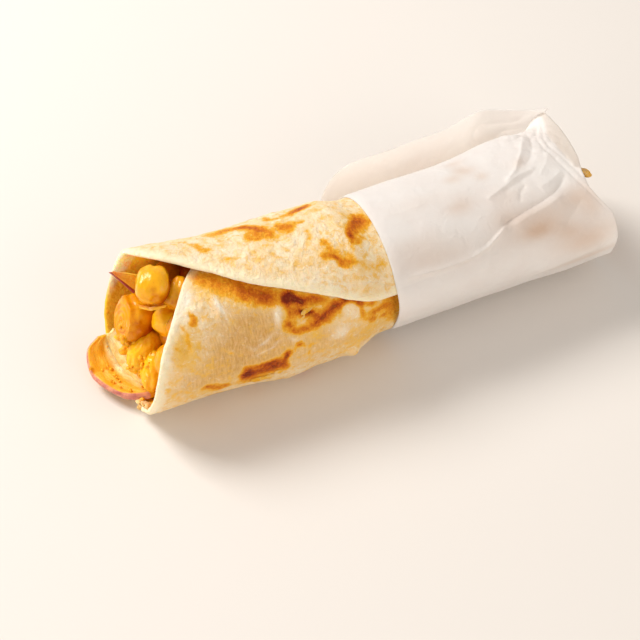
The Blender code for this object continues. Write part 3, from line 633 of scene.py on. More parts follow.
def paper_relief(u, angle, flat):
    """How far the sleeve's surface goes in towards the roll from a smooth sheet."""
    relief = rough(flat, PAPER_ROUGH)
    for line, width, height in CREASES:
        away, share = distance_to_line(u, angle * SLEEVE_ARC, [(a, b * SLEEVE_ARC) for a, b in line])
        fade = smooth_step(0.0, 0.16, share) * smooth_step(1.0, 0.84, share)
        relief += height * np.exp(-away / width) * fade
    crumpled = 0.55 * folds(flat, 7.5, 2.0) ** 2 + 0.35 * folds(flat, 3.4, 6.0) ** 2 - 0.45
    relief += hill(u, angle, *PAPER_HOLLOW) + hill(u, angle, *CRUMPLED_PATCH) * crumpled
    return relief * smooth_step(0.0, 5.0, u - 1.5)


def flap_relief(u, up, flat):
    """How far the loose flap's surface goes in towards the roll from a smooth sheet."""
    calm = 1.0 - 0.7 * smooth_step(0.7, 1.0, up) * smooth_step(66.0, 78.0, u)
    near_top = smooth_step(0.3, 0.6, up) * smooth_step(1.0, 0.8, up)
    crumpled = 0.8 * (folds(flat, 8.0, 5.0) ** 2 - 0.5) * smooth_step(52.0, 74.0, u)
    return rough(flat, FLAP_ROUGH) * smooth_step(0.0, 0.25, up) * calm + crumpled * near_top


def flap_places(u, up):
    """The loose flap behind the roll, up its section from where the sleeve leaves the roll."""
    leaves = paper_on_roll(u, np.full_like(u, PAPER_LEAVE))[..., 1:]
    heights = [4.0, *(z for _, z in FLAP_SECTION)]
    reach = up * np.interp(stations(FLAP_TOP, u), heights, np.linspace(0.0, 1.0, len(heights)))
    upright, folded = (
        curve_points([leaves, *(np.broadcast_to(row, leaves.shape) for row in section)], reach)
        for section in (FLAP_SECTION, FLAP_FOLDED_SECTION))
    places = mix(upright, folded, smooth_step(*FLAP_FOLD_SPAN, u)[..., None])
    return np.concatenate([u[..., None], places], -1)


def uneven(count, low, high, crowding):
    """Grid lines from 0 to 1 that stand closer between low and high."""
    ends = np.cumsum([0.0, low, (high - low) * crowding, 1.0 - high])
    return np.interp(np.linspace(0.0, ends[-1], count), ends, (0.0, low, high, 1.0))


def make_paper(finish):
    around, along = np.meshgrid(*(uneven(*lines) for lines in PAPER_LINES), indexing="ij")
    angle = mix(PAPER_START, PAPER_LEAVE, np.minimum(around / ROLL_SHARE, 1.0))
    left, right = stations(PAPER_LEFT, angle), stations(PAPER_RIGHT, angle)
    up = np.clip((around - ROLL_SHARE) / (1.0 - ROLL_SHARE), 0.0, 1.0)
    flap_left, lower_right, upper_right = FLAP_EDGES
    flap_right = mix(lower_right, upper_right, smooth_step(*FLAP_CORNER_SPAN, up))
    on_roll = around <= ROLL_SHARE
    u = np.where(on_roll, mix(left, right, along), mix(flap_left, flap_right, along))
    middle = np.where(on_roll[..., None], paper_on_roll(u, angle), flap_places(u, up))
    normal = np.cross(np.gradient(middle, axis=0), np.gradient(middle, axis=1))
    normal /= np.linalg.norm(normal, axis=-1, keepdims=True)
    flat = np.stack([u, angle * SLEEVE_ARC + up * FLAP_HEIGHT, np.zeros_like(u)], -1)
    relief = paper_relief(u, angle, flat) + EDGE_TUCK * smooth_step(EDGE_REACH, 0.0, u - left)
    relief = np.where(on_roll, relief, 0.0) + flap_relief(u, up, flat)
    middle = middle - normal * relief[..., None]
    sheet = [above(middle + side * normal * PAPER_SHEET / 2.0, 0.0) for side in (-1, 1)]
    tint = patches(SHOW_THROUGH_AND_SHADE, u, angle) * on_roll
    hem = smooth_step(1.2, 0.2, u - left) * on_roll
    single = smooth_step(-0.4, 0.6, u - stations(SHEER_FROM, angle)) * on_roll
    fields = {"flat": (flat, flat + (0.0, 0.0, 50.0)), **alike(tint=tint, hem=hem, flap=up, single=single)}
    finished(wall("paper_sleeve", *sheet, finish, fields), "paper_wrap")


# --- chickpeas -----------------------------------------------------------------------------
# middle x, y, z, length, width, turn in degrees; a shown one has the way its beak points instead
SHOWN_CHICKPEAS = (
    (-71.8, 1.4, 43.6, 12.6, 10.2, (0.42, 0.89, -0.04)), (-77.3, 6.4, 24.9, 14.8, 14, (0.1, 0.6, 0.79)),
    (-64.6, -1.6, 38.8, 11.2, 9.4, (0.2, 0.3, 0.9)), (-68.2, -3.2, 30.2, 12.2, 10.6, (0.7, -0.6, 0.4)),
    (-76.6, -1, 17.8, 15, 9.6, (-0.66, -0.32, -0.62)), (-75.8, -7.8, 15.4, 13, 9.6, (-0.45, -0.6, -0.62)),
)
TUCKED_CHICKPEAS = (
    (-63.5, 11.6, 33, 12.6, 11.4, 15), (-65.5, 8, 29.5, 12.6, 11.8, 50), (-66.5, -10, 32, 12.2, 11.4, 70),
    (-71.5, -13.2, 23.6, 12.6, 11.6, 10), (-72, -11.2, 13.2, 11.8, 11, 35),
    (-73.5, 12.2, 15.6, 12.4, 11.2, 65), (-68.6, 3.6, 13, 12.4, 11.8, 25), (-66, -1.5, 21.5, 13, 12, 40),
)
# Knobs where a shown chickpea's skin bulges: which one, the way the knob points, how far it stands out
KNOBS = (
    (0, (-0.02, 0.17, 0.98), 0.13), (0, (-0.72, -0.3, 0.62), 0.1), (0, (0.45, -0.35, 0.82), 0.1),
    (0, (-0.62, 0.1, -0.3), 0.09), (0, (0.3, -0.9, -0.3), 0.07), (2, (-0.5, -0.5, 0.7), 0.08),
    (3, (-0.6, -0.6, 0.5), 0.1), (4, (-0.5, -0.75, 0.45), 0.12), (4, (-0.9, -0.1, 0.4), 0.1),
    (5, (-0.7, -0.7, 0.1), 0.1), (5, (-0.4, -0.4, 0.82), 0.12), (1, (0.2, -0.4, 0.9), 0.06),
)
KNOB_SPREAD = 0.4
SEED_STEP = 1.7
SEAM_DEPTH, SEAM_WIDTH, BEAK_LENGTH, BEAK_HOOK, WRINKLE_HEIGHT = 0.08, 0.16, 0.17, 0.12, 0.03
# Tones of the shown chickpeas: lighter for those that sit in less light and darker for those in more, which
# is painted light and shade
SHOWN_LIGHT_TONES = (0.1, 0.0, 0.5, 0.7, 0.9, 0.8)
ROUGHER = {4: 0.7, 5: 0.5}  # how much rougher than the others some shown chickpeas are
BOXY = {0: 0.5}
# Tucked chickpeas take a tone towards the dark masala paste, as painted shade in the gaps; those in
# LIT_TUCKED take a lighter tone, as painted light
SHADED_TUCKED_TONE, LIT_TONE, LIT_TUCKED = -0.46, 0.3, (2, 3, 4)
FAR_RINGS = ((1, 0.0), (7, 10.4))  # how many chickpeas at the sleeved end, and how far from its middle
SPLIT_CHICKPEA = 1
SPLIT_FACING = np.array([-0.93, 0.03, 0.37])
SPLIT_DEPTH = 0.5
SPLIT_RINGS = ((0.2, 0.5, -0.55), (1.5, 0.55, 0.3), (2.5, 0.35, -0.2), (3.5, 0.4, 0.28), (4.4, 0.35, -0.32),
               (5.5, 0.5, 0.4))
AWAY_FROM_LIGHT_SIDE = np.array([0.62, -0.48, -0.62])  # the way to the side that faces away from the lamps; the finish paints that side darker, as painted shade
CORE_SAG = np.array([0.0, 0.0, 0.6])
CORE_RADIUS, CORE_SLEEVE_RADIUS, CORE_ENDS, CORE_NARROWS = 18.6, 15.8, (-66.0, 66.0), (-35.0, -12.0)


def unit_ball(subdivisions):
    ball = bmesh.new()
    bmesh.ops.create_icosphere(ball, subdivisions=subdivisions, radius=1.0)
    places = np.array([v.co[:] for v in ball.verts])
    faces = np.array([[v.index for v in f.verts] for f in ball.faces])
    ball.free()
    return places, faces


def turned(turns):
    return np.array(Euler([math.radians(turn) for turn in turns]).to_matrix())


def chickpea(ball, spot, seed, knobs=(), rougher=0.0, boxy=0.0):
    """A boiled chickpea: a plump two-lobed ball with a hooked beak and a loose, wrinkled skin."""
    *middle, length, width, turn = spot
    places = ball.copy()
    ahead = np.maximum(places[:, 0], 0.0)
    seam = np.exp(-(places[:, 1] / SEAM_WIDTH) ** 2)
    scale = 1.0 - SEAM_DEPTH * seam * smooth_step(-0.35, 0.7, places[:, 0])
    if isinstance(turn, tuple):
        heading = np.array(Vector(turn).to_track_quat("X", "Z").to_matrix())
    else:
        heading = turned((turn * 2.0, -turn, turn * 3.0))
    scale /= np.sum(places ** 4, axis=1) ** 0.25 * boxy + 1.0 - boxy
    even = scale.copy()
    for way, height in knobs:
        near = places @ (heading.T @ (np.array(way) / np.linalg.norm(way)))
        scale += height * np.exp((near - 1.0) / KNOB_SPREAD ** 2)
    fine = 1.0 + rougher
    scale += rough(places, ((0.06, 0.8, seed), (0.05 * fine, 0.4, seed), (0.02 * fine, 0.17, seed)))
    wrinkles = folds(places * (0.7, 1.3, 1.0), 0.5, seed + 3.0) ** 6
    scale += WRINKLE_HEIGHT * wrinkles * smooth_step(-0.1, 0.4, lumps(places, 0.7, seed + 1.0))
    places *= scale[:, None]
    places[:, 0] += BEAK_LENGTH * ahead ** 10
    places[:, 2] -= BEAK_HOOK * ahead ** 8
    places = places * (length / 2.0, width / 2.0, width / 2.0) @ heading.T
    way = places / np.linalg.norm(places, axis=1, keepdims=True)
    # How far the skin stands out or sinks; the finish paints the bulges lighter, a painted highlight, and
    # the hollows darker, painted shade
    fields = {"raised": np.clip((scale - even) / 0.07, -1.0, 1.0), "split": np.zeros(len(ball)),
              "sheltered": smooth_step(0.0, 0.95, way @ AWAY_FROM_LIGHT_SIDE), "local": ball * 6.0 + seed * 5.0}
    return places + np.array(middle), fields


def split_open(places, middle, radius):
    """Cuts a chickpea to a flat face with rings in it, and tells what lies on that face."""
    way = SPLIT_FACING / np.linalg.norm(SPLIT_FACING)
    from_middle = places - np.array(middle)
    height = from_middle @ way
    reach = np.linalg.norm(from_middle - height[:, None] * way, axis=1)
    flat = SPLIT_DEPTH * radius
    cut = flat + 0.18 * np.maximum(height - flat, 0.0)
    for ring, spread, rise in SPLIT_RINGS:
        cut += rise * bump(reach + 0.3 * lumps(from_middle, 2.5), ring, spread)
    cut = mix(height, np.minimum(cut, height), smooth_step(-0.5, 1.1, height - flat))
    return places + (cut - height)[:, None] * way, smooth_step(1.5, 3.2, cut)


def joined(parts):
    """One set of vertices, faces and fields from many."""
    places, faces, fields, start = [], [], {}, 0
    for part_places, part_faces, part_fields in parts:
        places.append(part_places)
        faces.append(part_faces + start)
        start += len(part_places)
        for field, values in part_fields.items():
            fields.setdefault(field, []).append(values)
    return np.concatenate(places), np.concatenate(faces), {k: np.concatenate(v) for k, v in fields.items()}


def finished_parts(name, parts, finish, replaced):
    places, faces, fields = parts
    finished(piece(name, places, faces, finish, fields), replaced)


def toned(places, faces, fields, tone):
    return places, faces, {**fields, "tone": np.full(len(places), tone)}


def chickpea_parts():
    """Every chickpea's places, faces and fields: the shown, the tucked and those at the far end."""
    ball, faces = unit_ball(5)
    for index, spot in enumerate(SHOWN_CHICKPEAS):
        knobs = [(way, height) for which, way, height in KNOBS if which == index]
        shape = knobs, ROUGHER.get(index, 0.0), BOXY.get(index, 0.0)
        places, fields = chickpea(ball, spot, index * SEED_STEP, *shape)
        if index == SPLIT_CHICKPEA:
            *middle, _, width, _ = spot
            places, face = split_open(places, middle, width / 2.0 * 1.05)
            fields.update(split=face, raised=fields["raised"] * (1.0 - face))
        yield toned(places, faces, fields, SHOWN_LIGHT_TONES[index])
    ball, faces = unit_ball(4)
    for index, spot in enumerate(TUCKED_CHICKPEAS):
        places, fields = chickpea(ball, spot, 20 + index * SEED_STEP)
        yield toned(places, faces, fields, LIT_TONE if index in LIT_TUCKED else SHADED_TUCKED_TONE)
    draw = random.Random(11)
    for count, ring in FAR_RINGS:
        for index in range(count):
            angle = 360.0 * (index + draw.uniform(-0.12, 0.12)) / count
            middle = on_section(draw.uniform(65.5, 70.0), angle, ring) + CORE_SAG
            size = [usual * draw.uniform(0.92, 1.04) for usual in (11.6, 10.4)]
            places, fields = chickpea(ball, (*middle, *size, draw.uniform(0.0, 90.0)), 40 + index)
            # half as much painted shade on the chickpeas at the sleeved end
            fields["sheltered"] = fields["sheltered"] * 0.5
            yield toned(places, faces, fields, 0.5 + 0.5 * draw.random())


def make_core(finish):
    ball, faces = unit_ball(6)
    x = mix(*CORE_ENDS, (ball[:, 0] + 1.0) / 2.0)
    across = np.hypot(ball[:, 1], ball[:, 2])
    radius = mix(CORE_RADIUS, CORE_SLEEVE_RADIUS, smooth_step(*CORE_NARROWS, x))
    radius = radius * smooth_step(0.0, 0.5, across)
    angle = np.degrees(np.arctan2(ball[:, 2], ball[:, 1]))
    places = on_section(x, angle, radius) + CORE_SAG
    places += ball * (rough(places, CORE_ROUGH) - 0.5)[:, None]
    none = np.zeros(len(places))
    # The core shows only in the gaps between chickpeas; its tone of -1 gives it the darkest paste, partly
    # painted shade for those gaps
    fields = {"tone": none - 1.0, "split": none, "local": places}
    finished_parts("masala", (places, faces, fields), finish, None)


# Where crumbs of masala lie: middle x, y, z and reach
CRUMB_PLACES = (
    (-82.2, 4, 20.6, 3), (-81.5, 1, 21.4, 2.2), (-79, -4, 15, 3.4), (-78, -6.5, 19, 2.4),
    (-78, -2, 24, 1.8), (68, -5, 14, 5), (68, 6, 28, 5),
)
MASALA_CRUMBS = {"Smallest": 0.0004, "Largest": 0.0013, "Crowding": 0.5e6, "Seed": 3}
ONION_CRUMBS = {"Smallest": 0.0003, "Largest": 0.0007, "Crowding": 0.5e6, "Seed": 8}
CRUMB_INPUTS = (("Surface", "Geometry"), ("Smallest", "Float"), ("Largest", "Float"), ("Crowding", "Float"),
                ("Seed", "Int"))


def crumbs_tree(finish):
    """Geometry Nodes: crumbs strewn over a surface, as thick as its point field says."""
    tree = bpy.data.node_groups.new("strewn_crumbs", "GeometryNodeTree")
    for name, kind in CRUMB_INPUTS:
        tree.interface.new_socket(name, in_out="INPUT", socket_type="NodeSocket" + kind)
    tree.interface.new_socket("Crumbs", in_out="OUTPUT", socket_type="NodeSocketGeometry")
    surface, smallest, largest, crowding, seed = (
        Value(socket) for socket in tree.nodes.new("NodeGroupInput").outputs[:len(CRUMB_INPUTS)])

    def random_value(kind, inputs, output):
        return node(tree, "FunctionNodeRandomValue", inputs, output, data_type=kind)

    def scaled(vector, factor):
        return node(tree, "ShaderNodeVectorMath", {0: vector, "Scale": factor}, operation="SCALE")

    thick = node(tree, "GeometryNodeInputNamedAttribute", {"Name": "crumbly"}, data_type="FLOAT")
    places = node(tree, "GeometryNodeDistributePointsOnFaces", {
        "Mesh": surface, "Density": thick * crowding, "Seed": seed}, "Points")
    crumb = node(tree, "GeometryNodeMeshUVSphere", {"Segments": 8, "Rings": 6, "Radius": 1.0}, "Mesh")
    size = random_value("FLOAT", {2: smallest, 3: largest, "Seed": 7}, 1)
    shape = random_value("FLOAT_VECTOR", {0: (0.6, 0.7, 0.5), 1: (1.5, 1.1, 0.9), "Seed": 9}, 0)
    turn = random_value("FLOAT_VECTOR", {0: (0.0, 0.0, 0.0), 1: (6.28, 6.28, 6.28), "Seed": 4}, 0)
    crumbs = node(tree, "GeometryNodeInstanceOnPoints", {
        "Points": places, "Instance": crumb, "Scale": scaled(shape, size), "Rotation": turn})
    solid = node(tree, "GeometryNodeRealizeInstances", {"Geometry": crumbs})
    place = node(tree, "GeometryNodeInputPosition")
    stray = node(tree, "ShaderNodeTexNoise", {"Vector": place, "Scale": 900.0, "Detail": 2.0}, "Color")
    stray = node(tree, "ShaderNodeVectorMath", {0: stray, 1: (0.5, 0.5, 0.5)}, operation="SUBTRACT")
    solid = node(tree, "GeometryNodeSetPosition", {"Geometry": solid, "Offset": scaled(stray, 0.0014)})
    solid = node(tree, "GeometryNodeSetShadeSmooth", {"Geometry": solid})
    solid = node(tree, "GeometryNodeSetMaterial", {"Geometry": solid, "Material": finish})
    fill(tree.nodes.new("NodeGroupOutput"), {"Crumbs": solid})
    return tree


def strewn(name, bed, tree, values):
    """The plain mesh that a Geometry Nodes tree makes on a bed, which is then thrown away."""
    maker = bed.modifiers.new("strew", "NODES")
    maker.node_group = tree
    for socket in tree.interface.items_tree:
        if socket.in_out == "INPUT" and socket.name in values:
            maker[socket.identifier] = values[socket.name]
    result = bed.evaluated_get(bpy.context.evaluated_depsgraph_get())
    made = placed(name, bpy.data.meshes.new_from_object(result))
    made.data.name = name
    bpy.data.objects.remove(bed)
    finished(made, None)


def make_onion_crumbs(sliver, finish, crumbs):
    """Small crumbs of masala strewn over the sliver's upper face."""
    index = grid_index(sliver)
    near, far = index[:-1, :-1], index[1:, 1:]
    faces = np.stack([np.stack([near, index[1:, :-1], far], -1), np.stack([near, far, index[:-1, 1:]], -1)])
    along, across = sheet_lines(*index.shape)
    flat = flat_sheet(along, across, 30.0, 10.0)
    thick = bump(across, 0.5, 0.32) * smooth_step(-0.2, 0.5, lumps(flat, 3.0, 5.0)) * bump(along, 0.5, 0.4)
    bed = piece("onion_bed", sliver.reshape(-1, 3), faces.reshape(-1, 3), finish, {"crumbly": thick.ravel()})
    strewn("onion_crumbs", bed, crumbs, ONION_CRUMBS)


def make_crumbs(chickpeas, finish, crumbs):
    places, faces, _ = chickpeas
    thick = np.zeros(len(places))
    for *middle, reach in CRUMB_PLACES:
        away = np.linalg.norm(places - np.array(middle), axis=1)
        thick = np.maximum(thick, np.exp(-(away / reach) ** 2))
    bed = piece("bed", places, faces, finish, {"crumbly": thick ** 1.5})
    strewn("masala_crumbs", bed, crumbs, MASALA_CRUMBS)


# --- onion ---------------------------------------------------------------------------------
ONION_THICKNESS, ONION_GAP = 2.4, 1.1
ONION_OUTER = ((-86.4, 16.4), (-91.2, 13.8), (-92.6, 7.0), (-90.2, -0.2), (-85.2, -6.8), (-78.8, -10.4))
ONION_WIDTH, ONION_TIP_WIDTH, ONION_FULLNESS = 10.5, 3.5, 0.7
SHARD_SPAN, SHARD_WIDTH, SHARD_RISE, SHARD_SET_BACK, SHARD_THICKNESS = (0.08, 0.94), 6.0, 3.4, 1.6, 1.5
WEDGE_THICKNESS = 1.6
WEDGE_SKIN_EDGE = ((-82.5, 11.0, 44.4), (-79.8, 9.4, 40.6), (-76.4, 6.8, 36.2))
WEDGE_INNER_EDGE = ((-81.4, 11.2, 43.9), (-77.2, 10.9, 42.2), (-73.2, 10.2, 40.2))
SKIN_THICKNESS = 0.45
SKIN_UPPER_EDGE = ((-77.4, 0.4, 38.2), (-74.4, -3.6, 39.6), (-70.4, -6.4, 41.6))
SKIN_LOWER_EDGE = ((-77.2, -0.4, 37.2), (-74.7, -4.1, 38.5), (-70.8, -6.3, 40.6))


def hollow_floor(x, y, clearance):
    """The height of the bread's lower inner face, a clearance above it, at places x, y."""
    angle = np.full(x.shape, -90.0)
    for _ in range(6):
        radius = shaped_radius(x, angle, spiral_radius(angle)) - BREAD_THICKNESS / 2.0 - clearance
        angle = -np.degrees(np.arccos(np.clip(y / (BREAD_WIDE * radius), -1.0, 1.0)))
    return np.maximum(on_section(x, angle, radius)[..., 2], bread_floor(x) + BREAD_THICKNESS + clearance)


def grid_normals(middle):
    normal = np.cross(np.gradient(middle, axis=0), np.gradient(middle, axis=1))
    normal /= np.linalg.norm(normal, axis=-1, keepdims=True)
    return normal if normal[..., 2].mean() > 0 else -normal


def slab(name, middle, thickness, finish, replaced, layers, seed, soaked, from_skin=0.0):
    """A slice with rounded edges whose layers show as ridges along it."""
    along, across = sheet_lines(*middle.shape[:2])
    inset = np.minimum(np.minimum(along, 1.0 - along) * 30.0, np.minimum(across, 1.0 - across) * 10.0)
    half = thickness / 2.0 * rounded(inset, 0.8, 0.03)
    flat = flat_sheet(along, across, 30.0, 10.0)
    ridges = 0.09 * np.sin(across * layers * 2.0 * math.pi + lumps(flat, 8.0, seed) * 2.0)
    relief = ridges + 0.16 * lumps(flat, 4.0, seed + 2.0) + 0.05 * lumps(flat, 1.2, seed)
    relief = relief * smooth_step(0.0, 0.8, inset)
    sides = [middle + side * grid_normals(middle) * (half + relief * share)[..., None]
             for side, share in ((1, 1.0), (-1, 0.4))]
    fields = {"flat": (flat, flat + (0.0, 0.0, 9.0)), **alike(
        across=mix(from_skin, 1.0, across), along=along, soaked=np.full_like(across, soaked))}
    finished(wall(name, *sides, finish, fields), replaced)


def onion_bed(along, across):
    """Places of the large sliver's middle, which lies on the lower lip."""
    edge = curve_points(ONION_OUTER, along)
    width = mix(ONION_TIP_WIDTH, ONION_WIDTH, np.sin(math.pi * np.clip(along, 0.0, 1.0)) ** ONION_FULLNESS)
    x, y = edge[..., 0] + width * across, edge[..., 1]
    height = hollow_floor(np.maximum(x, OPEN_END), y, ONION_GAP + ONION_THICKNESS / 2.0)
    return np.stack([x, y, height], -1)


def between(first, second, along, across):
    """Places on a sheet between two edges."""
    return mix(curve_points(first, along), curve_points(second, along), across[..., None])


def make_onion(finish, masala, crumbs):
    along, across = sheet_lines(110, 56)
    sliver = onion_bed(along, across)
    slab("onion_sliver", sliver, ONION_THICKNESS, finish, "onion_slice_low", 2.6, 0.0, 0.0)
    make_onion_crumbs(sliver + grid_normals(sliver) * (ONION_THICKNESS / 2.0 + 0.3), masala, crumbs)
    flat = flat_sheet(along, across, 26.0, 7.0)
    reach = SHARD_WIDTH * np.sin(math.pi * mix(0.06, 0.94, along)) ** 0.5
    reach = reach * (1.0 + 0.3 * lumps(flat, 5.0, 3.0))
    shard = onion_bed(mix(*SHARD_SPAN, along), 1.0)
    shard[..., 0] += reach * across - SHARD_SET_BACK
    shard[..., 2] += mix(0.0, SHARD_RISE, across) + 0.4 * lumps(flat, 4.0, 6.0)
    slab("onion_shard", shard, SHARD_THICKNESS, finish, None, 1.6, 12.0, 0.0, 0.66)
    along, across = sheet_lines(60, 40)
    wedge = between(WEDGE_SKIN_EDGE, WEDGE_INNER_EDGE, along, across)
    slab("onion_wedge", wedge, WEDGE_THICKNESS, finish, "onion_slice_high", 1.5, 6.0, 1.0)


def make_peel(finish):
    """The loose scrap of chickpea skin."""
    along, across = sheet_lines(60, 24)
    middle = between(SKIN_UPPER_EDGE, SKIN_LOWER_EDGE, along, across)
    normal = grid_normals(middle)
    flat = flat_sheet(along, across, 14.0, 2.0)
    middle = middle + normal * (0.25 * lumps(flat, 3.0))[..., None]
    fields = {"local": (flat, flat + 5.0), **alike(tone=across, split=np.zeros_like(across))}
    sides = [middle + side * normal * SKIN_THICKNESS / 2.0 for side in (1, -1)]
    finished(wall("chickpea_peel", *sides, finish, fields), "chickpea_skin")


# --- scraps --------------------------------------------------------------------------------
# Torn bits of the lower lip and the tip of bread that looks out beyond the sleeve's right edge:
# middle x, y, z, length, width, thickness and turns in degrees
TORN_BREAD = (
    (-81.6, -13, 6.6, 4.4, 2.6, 1.6, 20, 30, 60), (-82.2, -9.4, 4.6, 3.8, 2.4, 1.4, 0, 20, 80),
    (-81.8, -16.2, 9.2, 3, 1.8, 1.3, 40, 10, 40), (-82.6, -11.4, 4.2, 2.8, 1.8, 1.2, 10, 0, 20),
)
BREAD_TIP = (
    (79.6, -4.4, 41, 8.6, 5.6, 2.4, 0, 33, 26),
)
# Masala that has dropped on the lower lip and the onion, in the same way
DROPPED_MASALA = (
    (-81.8, -6.6, 4, 2.6, 1.8, 1.4, 0, 0, 20), (-81.2, -9.4, 5.2, 2.2, 1.6, 1.3, 0, 20, 80),
    (-80.4, 7.4, 10.6, 4.4, 3.2, 2.2, 10, 0, 10), (-78.8, 3.8, 11.2, 4.2, 3, 2.4, 0, 0, 70),
    (-79.6, 1, 9.4, 3.6, 2.4, 1.8, 0, 0, 30), (-78.8, -3.4, 9.2, 3.8, 2.2, 1.8, 0, 10, 60),
)
# Flakes of crust that have come up: u, v, half length, half width, turn, how far the free side lifts
FLAKES = (
    (-29, -53.4, 2.6, 0.7, -24, 0.5), (-25.4, -53.8, 2, 0.6, -6, 0.45), (-31.2, -51.4, 1.5, 0.5, -50, 0.4),
    (-46.8, -31.6, 2.8, 0.9, 4, 0.6), (-43.4, -31.8, 1.8, 0.7, -10, 0.5), (-38.4, -54, 1.8, 0.45, 80, 0.35),
    (-56.4, -63.6, 2.4, 0.45, 76, 0.35), (-40.2, -33.2, 1.5, 0.6, 20, 0.5),
)
DOUGH_FIELDS = ("toast", "golden", "dull", "pale", "stain", "rim", "deep")
TORN_DOUGH, TIP_DOUGH = (0.0, 0.7, 0.0, 0.2, 0.3, 0.0, 0.0), (0.3, 0.3, 1.0, 0.0, 0.0, 0.0, 0.0)


def ragged(ball, *layers):
    return ball * (1.0 + rough(ball, layers))[:, None]


def scraps(name, table, finish, known=()):
    """Small torn scraps joined into one piece; known are the values of the dough's fields."""
    ball, faces = unit_ball(3)
    parts = []
    for index, (x, y, z, length, width, thickness, *turns) in enumerate(table):
        places = ragged(ball, (0.3, 0.8, index * 3.1), (0.1, 0.3, index * 1.3))
        places = places * (length / 2.0, width / 2.0, thickness / 2.0)
        places[:, 2] += 0.03 * places[:, 0] ** 2
        fields = {field: np.full(len(places), value) for field, value in zip(DOUGH_FIELDS, known)}
        fields["flat"] = places + index * 7.0
        parts.append((places @ turned(turns).T + (x, y, z), faces, fields))
    finished_parts(name, joined(parts), finish, None)


def make_flakes(finish):
    ball, faces = unit_ball(3)
    parts = []
    for index, (middle_u, middle_v, length, width, turn, lift) in enumerate(FLAKES):
        flake = ragged(ball, (0.25, 0.7, index * 3.1), (0.12, 0.25, index))
        along, across = flake[:, 0] * length, flake[:, 1] * width
        u = middle_u + along * cos(turn) - across * sin(turn)
        v = middle_v + along * sin(turn) + across * cos(turn)
        free = np.clip((flake[:, 1] + 1.0) / 2.0, 0.0, 1.2)
        height = BREAD_THICKNESS / 2.0 - 0.05 + flake[:, 2] * 0.14 + lift * free ** 2
        places = bread_middle(u, v) + facing(bread_middle, u, v) * height[:, None]
        none = np.zeros_like(u)
        values = (none + 0.34, none + 0.4, none + 0.8, 0.2 * free, none, none, none)
        fields = {"flat": np.stack([u, v, none + 90.0], -1), **dict(zip(DOUGH_FIELDS, values))}
        parts.append((places, faces, fields))
    finished_parts("crust_flakes", joined(parts), finish, None)


def make_scraps(dough, masala):
    scraps("torn_bread", TORN_BREAD, dough, TORN_DOUGH)
    scraps("bread_tip", BREAD_TIP, dough, TIP_DOUGH)
    scraps("dropped_masala", DROPPED_MASALA, masala)


# --- finishes ------------------------------------------------------------------------------
class Value:
    """What a node gives out. Sums, differences and products of values make nodes of their own."""

    def __init__(self, socket):
        self.socket = socket
        self.tree = socket.id_data

    def __add__(self, other):
        return self.with_other(other, "ADD")

    def __sub__(self, other):
        return self.with_other(other, "SUBTRACT")

    def __mul__(self, other):
        return self.with_other(other, "MULTIPLY")

    def with_other(self, other, operation):
        return node(self.tree, "ShaderNodeMath", {0: self, 1: other}, operation=operation)

    def clamped(self):
        self.socket.node.use_clamp = True
        return self

    def span(self, low, high, to_low=0.0, to_high=1.0):
        """This value's share of the way from low to high, laid softly on to_low to to_high."""
        return node(self.tree, "ShaderNodeMapRange", {
            "Value": self, "From Min": low, "From Max": high, "To Min": to_low, "To Max": to_high,
        }, interpolation_type="SMOOTHSTEP")


def fill(made, inputs):
    """Sets a node's inputs, or links them to the values of other nodes."""
    for key, value in inputs.items():
        socket = made.inputs[key]
        if isinstance(value, Value):
            value.tree.links.new(value.socket, socket)
        else:
            socket.default_value = (*value, 1.0) if socket.type == "RGBA" else value


def node(tree, kind, inputs=None, output=0, **settings):
    made = tree.nodes.new(kind)
    for key, value in settings.items():
        setattr(made, key, value)
    fill(made, inputs or {})
    return Value(made.outputs[output])


def read_field(tree, name, output="Fac"):
    return node(tree, "ShaderNodeAttribute", output=output, attribute_name=name)


def read_fields(tree, names):
    return [read_field(tree, name) for name in names.split()]


def speckle(place, scale, detail=4.0, roughness=0.55, distortion=0.0):
    return node(place.tree, "ShaderNodeTexNoise", {
        "Vector": place, "Scale": scale, "Detail": detail, "Roughness": roughness, "Distortion": distortion,
    }, "Fac")


def stretched(place, scale):
    return node(place.tree, "ShaderNodeMapping", {"Vector": place, "Scale": scale})


def ramp(value, stops):
    colour = node(value.tree, "ShaderNodeValToRGB", {"Fac": value}, "Color")
    band = colour.socket.node.color_ramp
    while len(band.elements) < len(stops):
        band.elements.new(0.5)
    for element, (place, shade) in zip(band.elements, stops):
        element.position = place
        element.color = (*shade, 1.0)
    return colour


def blend(share, first, second):
    tree = next(value.tree for value in (share, first) if isinstance(value, Value))
    return node(tree, "ShaderNodeMix", {0: share, 6: first, 7: second}, 2, data_type="RGBA")


def bumps(height, strength, distance):
    return node(height.tree, "ShaderNodeBump", {
        "Height": height, "Strength": strength, "Distance": distance}, "Normal")


def finish_of(name):
    material = bpy.data.materials.new(name)
    material.use_nodes = True
    return material, material.node_tree


def covered(material, **values):
    """The material, with its shader's inputs set or linked."""
    shader = material.node_tree.nodes["Principled BSDF"]
    fill(shader, {key.replace("_", " "): value for key, value in values.items()})
    return material


